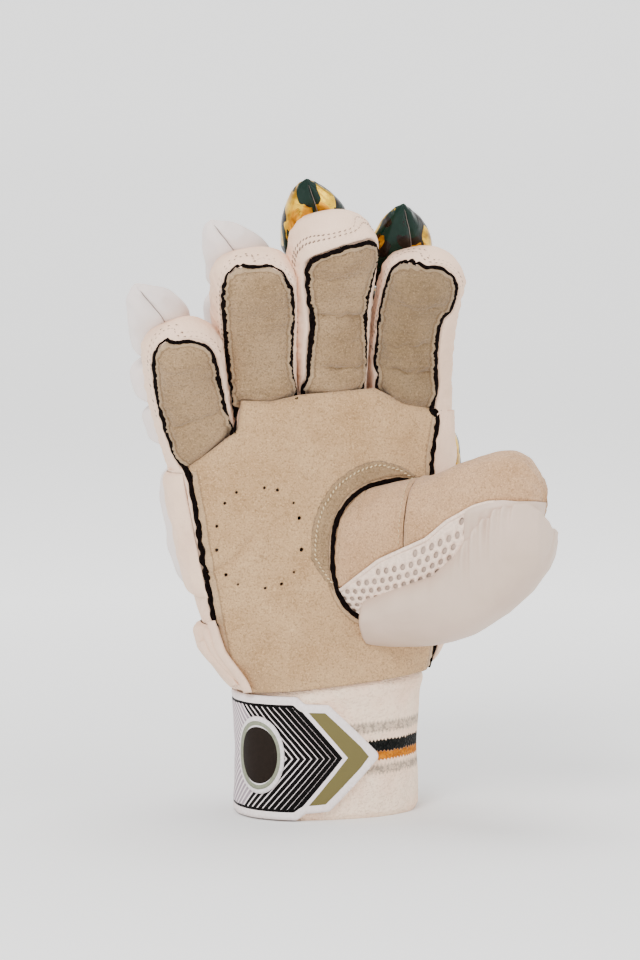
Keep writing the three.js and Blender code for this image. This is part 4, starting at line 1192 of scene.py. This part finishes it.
def palm_outline():
    bottom = np.linspace(palm_edge(56, "left"), palm_edge(60, "right"), 40)
    right_z = np.linspace(seam(palm_edge(60, "right")), crease(0.42 * HAND_WIDTH), 60)
    left_z = np.linspace(crease(-0.47 * HAND_WIDTH), seam(palm_edge(56, "left")), 60)
    wave = 0.35 * ripple(5, 7.0, right_z) + 0.2 * ripple(6, 2.5, right_z)
    right = points(palm_edge(right_z, "right") + 0.4 + wave, right_z)
    wave = 0.45 * ripple(8, 8.0, left_z) + 0.25 * ripple(9, 2.5, left_z)
    left = points(palm_edge(left_z, "left") - 0.4 + wave, left_z)
    top = np.array([(a * HAND_WIDTH, height_of(r)) for a, r in CREASE])
    top = top[(top[:, 0] < right[-1, 0] - 1) & (top[:, 0] > left[0, 0] + 1)][::-1]
    return np.vstack([points(bottom, seam(bottom) + GAP), right[1:], top, left[:-1]])


HOLE = thumb_hole(1.9)
HOLE_CENTRE = HOLE.mean(axis=0)


def ring(centre, radius, sides=10):
    turns = np.arange(sides) * 2 * math.pi / sides
    return points(centre[0] + radius * np.cos(turns), centre[1] + radius * np.sin(turns))


def palm():
    sizes = np.random.default_rng(17).uniform(0.55, 0.95, PERFORATIONS)
    holes = [HOLE] + [ring(place, size) for place, size in zip(perforation_places(), sizes)]
    filled = fill(palm_outline(), holes, 1.15)
    x, z = filled[0].T
    below = crease(x) - z
    edge = np.minimum(x - palm_edge(z, "left"), palm_edge(z, "right") - x)
    lift = 0.5 + 0.30 * ripple(21, 24, x, z) + 0.12 * ripple(22, 8, x, z * 1.6)
    lift += 0.45 * valley(edge - 3.0, 1.8) - 0.35 * (1 - smooth(0, 1.6, edge))
    lift += 0.22 * ripple(23, 2.6, x, z) * (1 - smooth(0.3, 2.0, edge))
    lift += 0.7 * valley(below - 5.5, 4.5) - 1.3 * (1 - smooth(-0.6, 2.2, below))
    for depth, width, swell, line in PALM_FOLDS:
        fold = away(x, z, line)
        lift -= depth * valley(fold, width) - swell * valley(fold - 4.5, 3.0)
    rim = nearest(x, z, HOLE)
    lift += 0.4 * valley(rim - 4, 4)
    lift -= 0.25 * (1 - smooth(0, 1.3, nearest(x, z, perforation_places())))
    from_raw_edge = np.where(below < 3, 5, np.minimum(edge, rim))
    panel("palm_suede", filled, on_palm, lift, LEATHER, SUEDE, points(from_raw_edge, x))


palm()


def palm_bindings():
    for seed, side, edge, ends in ((1, "left", "left", (68.5, 149.5)), (2, "right", "right", (137.0, 171.8)),
                                   (3, "heel", "right", (60.6, 92.0))):
        z = np.linspace(*ends, int((ends[1] - ends[0]) / 0.7))
        sign = -1 if edge == "left" else 1
        x = palm_edge(z, edge) + sign * (1.35 + 0.25 * ripple(40 + seed, 8.0, z))
        width = 2.6 + 0.5 * ripple(50 + seed, 9.0, z)
        rings = strip(*along_line(on_palm, points(x, z), -0.1), width, 0.6)
        ribbon("palm_binding_" + side, [rings], BINDING_CLOTH)


palm_bindings()


def hand_gusset():
    shares, rows = np.linspace(0, 1, 150), np.linspace(0, 1, 110)
    first = last = height_of(rows * 0.9)
    for step in range(5):
        start = hand_turn(palm_edge(first, "right") + 2.4, first)
        end = 2 * math.pi + hand_turn(palm_edge(last, "left") - 2.4, last)
        turns = between(start, end, shares)
        if step == 0:
            heights = first[:, None] + 0 * turns
        if step < 4:
            x = on_hand(turns, heights)[..., 0]
            low_z, high_z = seam(x) + GAP, np.minimum(crease(x), height_of(0.995)) - 0.5
            heights = low_z + rows[:, None] * (high_z - low_z)
            first, last = heights[:, 0], heights[:, -1]
    side = np.minimum(shares, 1 - shares)[None, :] * 260
    lift = 0.25 * ripple(61, 14, turns * 55, heights) + 0.12 * ripple(62, 5, turns * 55, heights * 1.4)
    lift += 0.55 * valley(side - 1.2, 1.6) - 0.3 * (1 - smooth(0, 1.0, side))
    outer = on_hand(turns, heights, lift)
    inner = on_hand(turns, heights, -LEATHER)
    sheet("hand_gusset", outer, inner, GUSSET)


hand_gusset()


def webs():
    """The folded leather that closes the hand between the fingers, from palm to back."""
    x = np.linspace(-0.50, 0.47, 150) * HAND_WIDTH
    rows = np.linspace(0, 1, 24)[:, None]
    low_z, high_z = crease(x) - 2.0, np.minimum(crease(x), height_of(0.99))
    front = on_palm(x, low_z, -1.0)[:, 1]
    back = 2 * hand_section(low_z)[1] - front
    depth = front + rows * (back - front)
    sag = -2.2 * np.sin(math.pi * rows) + 0.5 * ripple(77, 5.0, x, depth)
    outer = points(x, depth, low_z + rows * (high_z - low_z) + sag)
    sheet("finger_webs", outer, outer - np.array([0, 0, 1.6]), GUSSET)


webs()


# Facing and binding of the thumb's hole

def sideways(line):
    ahead = unit(line)
    return points(ahead[:, 1], -ahead[:, 0])


def hole_part(outline, first, last):
    """The part of an outline round the hole between two angles in degrees, with its angles."""
    turns = np.degrees(np.arctan2(*(outline - HOLE_CENTRE).T[::-1])) % 360
    order = np.argsort(turns)
    outline, turns = outline[order], turns[order]
    keep = (turns > first) & (turns < last)
    return outline[keep], turns[keep]


def thumb_facing():
    first, last = 62, 214
    base, turns = hole_part(HOLE, first, last)
    share = (turns - first) / (last - first)
    width = 8.6 * np.clip(np.sin(math.pi * share) * 1.6, 0.12, 1.0)
    out = sideways(np.gradient(base, axis=0))
    if (out * (base - HOLE_CENTRE)).sum() < 0:
        out = -out
    outer = base + out * (width + 0.2 * ripple(81, 3.0, np.arange(len(base)) * 1.5))[:, None]
    filled = fill(np.vstack([outer, (base + out * 0.6)[::-1]]), [], 0.9)
    (x, z), edge = filled[0].T, filled[2]
    lift = 0.9 + 0.7 * smooth(0, 1.0, edge) - 0.5 * valley(edge - 2.2, 0.5) + 0.1 * ripple(82, 4, x, z)
    # The pattern's first number puts the suede's painted groove shade on the facing's own edge, as a dark
    # outline.
    panel("thumb_facing", filled, on_palm, lift, -0.1, FINGER_SUEDE, points(edge + 2, x))
    line = resample(base + out * (width - 1.9)[:, None], 2.0)[2:-2]
    dashes("facing_stitches", [(*along_line(on_palm, line, 1.4), 0.45)], THREAD, (1.8, 0.65, 0.50))


thumb_facing()


def hole_binding():
    around = sideways(np.roll(HOLE, -1, axis=0) - np.roll(HOLE, 1, axis=0))
    sizes = {sign: np.abs(HOLE + sign * 0.9 * around - HOLE_CENTRE).sum() for sign in (-1, 1)}
    outline, _ = hole_part(HOLE + 0.9 * min(sizes, key=sizes.get) * around, 45, 262)
    line = resample(outline, 0.9)
    width = 2.6 + 0.35 * ripple(91, 9, np.arange(len(line)) * 0.9)
    ribbon("thumb_hole_binding", [strip(*along_line(on_palm, line, -0.2), width, 1.0)], BINDING_CLOTH)


hole_binding()


# Thumb
STALL_PLACE = on_thumb(STALL, THUMB_HEIGHT, THUMB_DEPTH)
GUARD_PLACE = on_thumb(GUARD, GUARD_HEIGHT, GUARD_DEPTH, GUARD_OVERHANG)
STALL_RADIUS = 24.0
GUARD_RADIUS = 30.0
MESH_PITCH = 3.7
MESH_HOLE = 1.12


def stall_seam(line, front=True, shift=0.0):
    """A seam of the thumb's stall as a function of the place along the thumb."""
    return lambda along: seam_turn(STALL, THUMB_HEIGHT, line, along, front) + shift


def stall_piece(name, starts, ends, first, last, look, lift, rows=70, columns=80):
    """A wall of the thumb between two seams, each given by its angle at a place along the thumb."""
    along = first + (last - first) * (1 - (1 - np.linspace(0, 1, rows)) ** 1.4)
    share = np.linspace(0, 1, columns)
    start, end = starts(along), ends(along)
    turns = between(start, end, share)
    where = along[:, None] + 0 * turns
    edge = np.minimum(np.minimum(share, 1 - share) * np.abs(end - start)[:, None] * STALL_RADIUS,
                      np.minimum(where - first, last - where + (0.2 if last > 0.99 else 0)) * THUMB_LENGTH)
    outer = STALL_PLACE(where, turns, lift(where, turns, edge))
    inner = STALL_PLACE(where, turns, -LEATHER)
    sheet(name, outer, inner, look, points(np.abs(edge) + 5.0, where))


def stall_lift(seed):
    def lift(along, turns, edge):
        soft = 0.35 * ripple(seed, 0.9, turns, along * 3.0)
        soft = soft + 0.12 * ripple(seed + 1, 0.35, turns, along * 3.0)
        return soft + 0.35 * valley(edge - 2.2, 1.4) - 0.8 * (1 - smooth(0, 1.6, edge))
    return lift


def thumb_suede():
    front, back = stall_seam(MESH_SEAM), stall_seam(BACK_SEAM, False)
    below, above = THUMB_SPLIT - 0.003, THUMB_SPLIT + 0.003
    stall_piece("thumb_suede_base", back, front, -0.14, below, THUMB_SUEDE, stall_lift(101))
    stall_piece("thumb_suede_tip", back, front, above, 1.0, THUMB_SUEDE, stall_lift(103), 110, 96)
    line = points(THUMB_SPLIT - 0.018, front(THUMB_SPLIT) - np.linspace(0.1, 2.3, 30))
    dashes("thumb_stitches", [(*along_line(STALL_PLACE, line, 0.25), 0.1)], THREAD, (1.4, 0.4, 0.25))


thumb_suede()


def thumb_welt():
    """The pale strip between the suede tip and the guard."""
    seam_foot = stall_seam(GUARD_SEAM, shift=0.5)

    def foot(along):
        return seam_foot(along) + 1.2 * smooth(0.86, 0.95, along)

    def lift(along, turns, edge):
        high = 1 - 0.8 * smooth(0.88, 0.99, along)
        return (0.7 + 1.2 * smooth(0, 2.5, edge) + 0.35 * np.sin(along * 150) * smooth(2.0, 5.0, edge)) * high

    stall_piece("thumb_welt", stall_seam(MESH_SEAM, shift=-0.02), foot, 0.70, 1.0, GUARD_WHITE, lift, 60, 30)


thumb_welt()


def thumb_mesh():
    """The open mesh: a strip with real holes in staggered rows over a backing whose grey is painted shade for
    the inside seen through the holes.
    """
    along = np.linspace(0.05, 0.83, 50)
    top = stall_seam(MESH_SEAM)(along)
    foot = np.minimum(stall_seam(GUARD_SEAM)(along) + 0.16, 4.4)
    u, v_top, v_foot = along * THUMB_LENGTH, -top * STALL_RADIUS, -foot * STALL_RADIUS
    wide = v_top - v_foot > 1.2
    border = points(u, v_top)[wide]
    outline = np.vstack([points(u, v_foot)[wide], border[::-1]])
    holes = []
    for row in range(-30, 0):
        for column in range(0, 26):
            place = np.array([2.0 + MESH_PITCH * (column + 0.5 * (row % 2)), MESH_PITCH * 0.866 * row])
            near_top = np.interp(place[0], u, v_top) - place[1]
            near_foot = place[1] - np.interp(place[0], u, v_foot)
            if near_top > 2.0 and near_foot > 1.7 and 4 < place[0] < 78:
                holes.append(ring(place, MESH_HOLE))

    def place(u, v, grow=0.0):
        return STALL_PLACE(u / THUMB_LENGTH, -v / STALL_RADIUS, grow)

    filled = fill(outline, holes, 1.1)
    lift = 0.15 + 0.35 * smooth(0, 1.2, filled[2]) + 0.15 * ripple(111, 14, *filled[0].T)
    panel("thumb_mesh", filled, place, lift, 0.2, MESH)
    backing = fill(outline, [], 2.0)
    # The backing's grey is painted shade for the inside seen through the holes.
    panel("mesh_backing", backing, place, -0.5 + 0 * backing[2], LEATHER, SHADED_MESH_BACKING)
    ribbon("mesh_piping", [strip(*along_line(place, resample(border, 1.0), 0.2), 1.7, 0.7)], MESH)


thumb_mesh()


def thumb_guard():
    """The padded guard, curled in to the thumb at its edges, with puckers at its upper end."""
    rows, columns, root = 130, 150, 0.085
    along = root + (1 - root) * (1 - (1 - np.linspace(0, 1, rows)) ** 1.5)
    front = seam_turn(GUARD, GUARD_HEIGHT, GUARD_SEAM, along, True)
    back = seam_turn(GUARD, GUARD_HEIGHT, BACK_SEAM, along, False) + 2 * math.pi
    front = np.clip(front, math.pi / 2, 1.55 * math.pi)
    turns = between(front, back, np.linspace(0, 1, columns))
    where = along[:, None] + 0 * turns
    from_front = (turns - front[:, None]) * GUARD_RADIUS
    from_back = (back[:, None] - turns) * GUARD_RADIUS
    from_root = (where - root) * THUMB_LENGTH
    edge = np.minimum(np.minimum(from_front, from_back), from_root + 0.5)
    curl = 8.0 - 4.5 * smooth(0.62, 0.78, where)
    inset = curl - np.sqrt(np.clip(curl ** 2 - np.clip(curl - edge, 0, curl) ** 2, 0, None))
    gather = 1.7 * smooth(0.62, 0.72, where) * (1 - smooth(0.80, 0.95, where))
    wave = np.sin(where * 150 + 0.6 * ripple(121, 0.2, where, turns * 0.1))
    wave = wave + 0.5 * np.sin(where * 83 + turns * 3)
    puckers = gather * np.exp(-from_front / 10) * wave
    lift = -inset + puckers + 0.35 * ripple(122, 1.2, turns, where * 3.2)
    outer = GUARD_PLACE(where, turns, lift)
    inner = GUARD_PLACE(where, turns, np.minimum(-7.0, lift - 0.4))
    sheet("thumb_guard", outer, inner, GUARD_WHITE)


thumb_guard()


# Pads on the hand

def hand_pad(name, start, end, low_edge, high_edge, thickness, edge, look, seed, ridges=()):
    """A pad between two angles in degrees and two heights, which starts at the wrist's seam if the
    lower height isn't given; each ridge has its angle, slope, height and width."""
    across, up = pad_section(64)
    degrees = (start + end) / 2 + across * (end - start) / 2
    turns = np.radians(degrees)
    x = on_hand(turns, WRIST_HEIGHT + 0 * turns)[..., 0]
    low_z = seam(x) + 2 * GAP if low_edge is None else height_of(low_edge) + 0 * x
    rings = []
    for a in np.linspace(0, 1, 46):
        z = low_z + a * (height_of(high_edge) - low_z)
        end_shape = max(1e-3, 1 - abs(2 * a - 1) ** 5) ** 0.5
        crown = np.sqrt(1 - (1 - edge) * across ** 2)
        swell = thickness * end_shape * crown * up ** 0.6 * 0.97
        soft = 0.35 * ripple(seed, 12, turns * 55, z)
        for place, slope, height, width in ridges:
            soft = soft + height * valley(degrees - place - slope * a, width)
        rings.append(on_hand(turns, z, PAD_CLEARANCE + swell + soft * up * end_shape))
    closed(name, np.array(rings), look)


WRIST_TOP = WRIST_ROLL_HEIGHT / PALM_LENGTH
COLUMN_FOOT = WRIST_TOP + ROLL_SPACING / PALM_LENGTH
hand_pad("wrist_roll", 22, 150, None, WRIST_TOP, WRIST_ROLL, 0.2, WHITE, 131)
for side, first, last, top in (("index", 16, 58, 0.86), ("middle", 62, 88, 0.93),
                               ("ring", 92, 118, 0.89), ("pinky", 122, 144, 0.74)):
    hand_pad("hand_roll_" + side, first, last, COLUMN_FOOT, top, HAND_ROLL, 0.05, ROLL_LOOKS[side],
             133 + first)
hand_pad("side_pad", 160, 204, 0.30, 0.72, SIDE_PAD, 0.4, GUSSET, 141)
hand_pad("side_tab", 160, 206, None, 0.205, 1.6 * SIDE_PAD, 0.4, GUSSET, 143,
         ((202, -5, 1.4, 4.0), (195, -5, -2.0, 2.2), (186, -6, 1.2, 4.5), (176, -4, -1.8, 2.2)))


def hand_strip(turn, z, lift, width, height, trim, power, sides):
    """A rounded fold on the hand, whose height falls away at both ends."""
    swell = height * np.sin(math.pi * np.linspace(trim, 1 - trim, len(z))) ** power
    return strip(*along_line(on_hand, points(turn, z), lift), width, swell, sides)


def heel_fold():
    """The gusset's soft fold beside the heel of the palm."""
    z = np.linspace(63, 97, 50)
    turn = hand_turn(palm_edge(z, "right") + 2.4, z) + 0.15
    ribbon("heel_fold", [hand_strip(turn, z, 0.0, 9.0, 4.2, 0.04, 0.5, 15)], GUSSET)


heel_fold()


def tab_folds():
    """The rolled edges of the side tab."""
    share = np.linspace(0, 1, 40)
    lines = []
    for start, end, low, high, lift, width, height in ((207, 205, 0.0, 0.225, 0.9, 5.0, 2.4),
                                                       (196, 189, 0.02, 0.150, 1.55, 6.0, 2.0)):
        turn = np.radians(start + share * (end - start))
        foot = seam(on_hand(turn, WRIST_HEIGHT + 0 * turn)[..., 0]) + 2 * GAP + PALM_LENGTH * low
        z = foot + share * (height_of(high) - foot)
        lines.append(hand_strip(turn, z, SIDE_PAD * lift, width, height, 0.05, 0.4, 11))
    ribbon("tab_folds", lines, GUSSET)


tab_folds()


# Cuff, strap and badge

def cuff():
    walked = np.linspace(0, CUFF_ROUND, 361)[:-1][None, :]
    rows = np.linspace(0, 1, 90)[:, None]
    x = on_cuff(walked + 0 * rows, WRIST_HEIGHT + 0 * rows * walked)[..., 0]
    z = rows * seam(x)
    walked = walked + 0 * z
    from_top = seam(x) - z
    rim, top = 1 - smooth(0, 2.4, z), 1 - smooth(0, 3.0, from_top)
    lift = 0.25 * ripple(151, 15, walked, z) - 1.2 * rim - 1.2 * top + 0.8 * valley(from_top - 4.5, 3.0)
    outer, inner = on_cuff(walked, z, lift), on_cuff(walked, z, -TOWEL + 0.5 * rim)
    tube("cuff", outer, inner, TOWELLING, points(walked, z - 0.02 * (x - CUFF_CENTRE)))


cuff()

STRAP_REACH, STRAP_POINT, STRAP_STEP = 13.5, 20.7, 3.5


def strap():
    tip = -STRAP_REACH
    shoulder = tip + STRAP_POINT
    notch = shoulder + 2.7 * STRAP_STEP
    low_z, high_z = STRAP_CLEARANCE, STRAP_CLEARANCE + STRAP_HEIGHT
    middle = (low_z + high_z) / 2
    end = CUFF_ROUND / 2 + 16
    outline = np.array([(end, low_z), (notch + STRAP_STEP, low_z), (notch, low_z + 0.8 * STRAP_STEP),
                        (shoulder, low_z + STRAP_STEP), (tip, middle - 1.2), (tip - 0.2, middle),
                        (tip, middle + 1.2), (shoulder, high_z - STRAP_STEP),
                        (notch, high_z - 0.9 * STRAP_STEP), (notch + 0.9 * STRAP_STEP, high_z),
                        (end, high_z)])
    outline = resample(outline, 1.0)
    closed_outline = np.vstack([outline, resample(np.array([(end, high_z), (end, low_z)]), 1.0)[1:-1]])
    filled = fill(closed_outline, [], 1.0, [np.array([(tip + 0.5, middle), (end - 0.5, middle)])])
    (walked, z), edge = filled[0].T, filled[2]
    lift = STRAP_WALL + GAP - 0.5 * (1 - smooth(0, 1.0, edge)) - 0.25 * valley(edge - 3.4, 0.6)
    lift += 0.12 * ripple(161, 14, walked, z)
    back = (walked - tip) - 0.79 * np.abs(z - middle)
    border = np.minimum(edge, np.minimum(z - low_z, high_z - z))
    panel("wrist_strap", filled, on_cuff, lift, -GAP, STRAP, points(back, border))


strap()


def badge():
    """A plain raised oval: a pale edge, a grey-green slope and a dark bare face."""
    middle = STRAP_CLEARANCE + 0.52 * STRAP_HEIGHT
    centre = np.interp(math.radians(-146), CUFF_TURNS[::-1], CUFF_ARCS[::-1])
    turns = np.linspace(0, 2 * math.pi, 65)[:-1][None, :]
    base = STRAP_WALL + 2 * GAP

    def rings(shares, lifts):
        shares, lifts = np.array(shares)[:, None], np.array(lifts)[:, None]
        u = centre + shares * 10.5 * np.cos(turns)
        v = middle + shares * 16.5 * signed_power(np.sin(turns), 0.95)
        return on_cuff(u, v, base + lifts + 0 * u)

    closed("strap_badge", rings([0.98, 1.0, 0.98, 0.92, 0.86], [-0.2, 0.5, 1.0, 1.2, 1.1]), BADGE_EDGE)
    closed("badge_slope", rings([0.88, 0.88, 0.80, 0.72], [0.4, 1.25, 1.2, 0.75]), BADGE_RIM)
    closed("badge_face", rings([0.76, 0.75, 0.70, 0.40, 0.05], [0.3, 0.95, 1.1, 1.25, 1.3]), BADGE_DARK)


badge()


# Floor, light and camera

def stage():
    """A pale round floor that rises far out, so that every view has it behind the glove."""
    profile = resample([(40, 0), (2600, 0), (3400, 60), (3900, 300), (4150, 800), (4200, 1500)], 160)
    reach, height = profile[:, :1], profile[:, 1:]
    sides = 96
    turns = np.linspace(0, 2 * math.pi, sides + 1)[:-1]
    places = points(reach * np.cos(turns), reach * np.sin(turns), height)
    middle = len(places) * sides
    faces = [tuple(face) for face in grid_faces(len(places), sides, True, True)]
    faces += [(middle, k, (k + 1) % sides) for k in range(sides)]
    places = np.vstack([places.reshape(-1, 3), [[0, 0, 0]]])
    floor = bpy.data.meshes.new("floor")
    floor.from_pydata((places / 1000).tolist(), [], faces)
    floor.polygons.foreach_set("use_smooth", np.ones(len(floor.polygons), bool))
    backdrop = link("floor", floor)
    paper = Surface("paper")
    reach = paper.add("ShaderNodeVectorMath", {"operation": "LENGTH"}, _0=paper.place).outputs["Value"]
    # The floor glows, more the farther it lies from the glove: painted light that brightens the backdrop and
    # lights the glove from below; near the glove it fades to none, so the shadow there stays.
    glow = paper.ramp(reach, 0.10, 0.7, 0.0, 0.68, "LINEAR")
    paper.set(Base_Color=(0.84, 0.84, 0.835, 1), Roughness=1.0, Emission_Color=(1, 1, 1, 1),
              Emission_Strength=glow)
    floor.materials.append(paper.material)


stage()


def light(name, place, target, size, power):
    lamp = bpy.data.lights.new(name, "AREA")
    lamp.shape = "DISK"
    lamp.size = size
    lamp.energy = power
    holder = link(name, lamp)
    holder.location = place
    holder.rotation_euler = (Vector(target) - Vector(place)).to_track_quat("-Z", "Y").to_euler()


light("key", (-0.75, -1.0, 1.15), (0, 0, 0.12), 0.7, 21.0)
light("fill", (1.1, -0.9, 0.7), (0, 0, 0.12), 1.2, 6.0)
light("top", (0.0, 0.2, 1.5), (0, 0, 0.1), 0.8, 14.0)
world = bpy.data.worlds.new("studio")
world.use_nodes = True
world.node_tree.nodes["Background"].inputs["Color"].default_value = (1.0, 1.0, 1.0, 1)
world.node_tree.nodes["Background"].inputs["Strength"].default_value = 1.0
bpy.context.scene.world = world

# The photograph's view: its angle, its distance in metres and how much of the glove a pixel takes
azimuth, elevation, distance = math.radians(-15), math.radians(5.5), 1.3
PIXEL, PHOTO_HEIGHT, SENSOR = 0.00043, 960, 24
target = (np.array([7.5, 13.1, 140.5]) - SHIFT) / 1000
level = math.cos(elevation)
forward = np.array([-math.sin(azimuth) * level, math.cos(azimuth) * level, -math.sin(elevation)])
lens = bpy.data.cameras.new("camera")
lens.sensor_fit = "VERTICAL"
lens.sensor_height = SENSOR
lens.lens = SENSOR * (distance / PIXEL) / PHOTO_HEIGHT
camera = link("camera", lens)
camera.location = target - forward * distance
camera.rotation_euler = Vector(forward).to_track_quat("-Z", "Y").to_euler()
bpy.context.scene.camera = camera
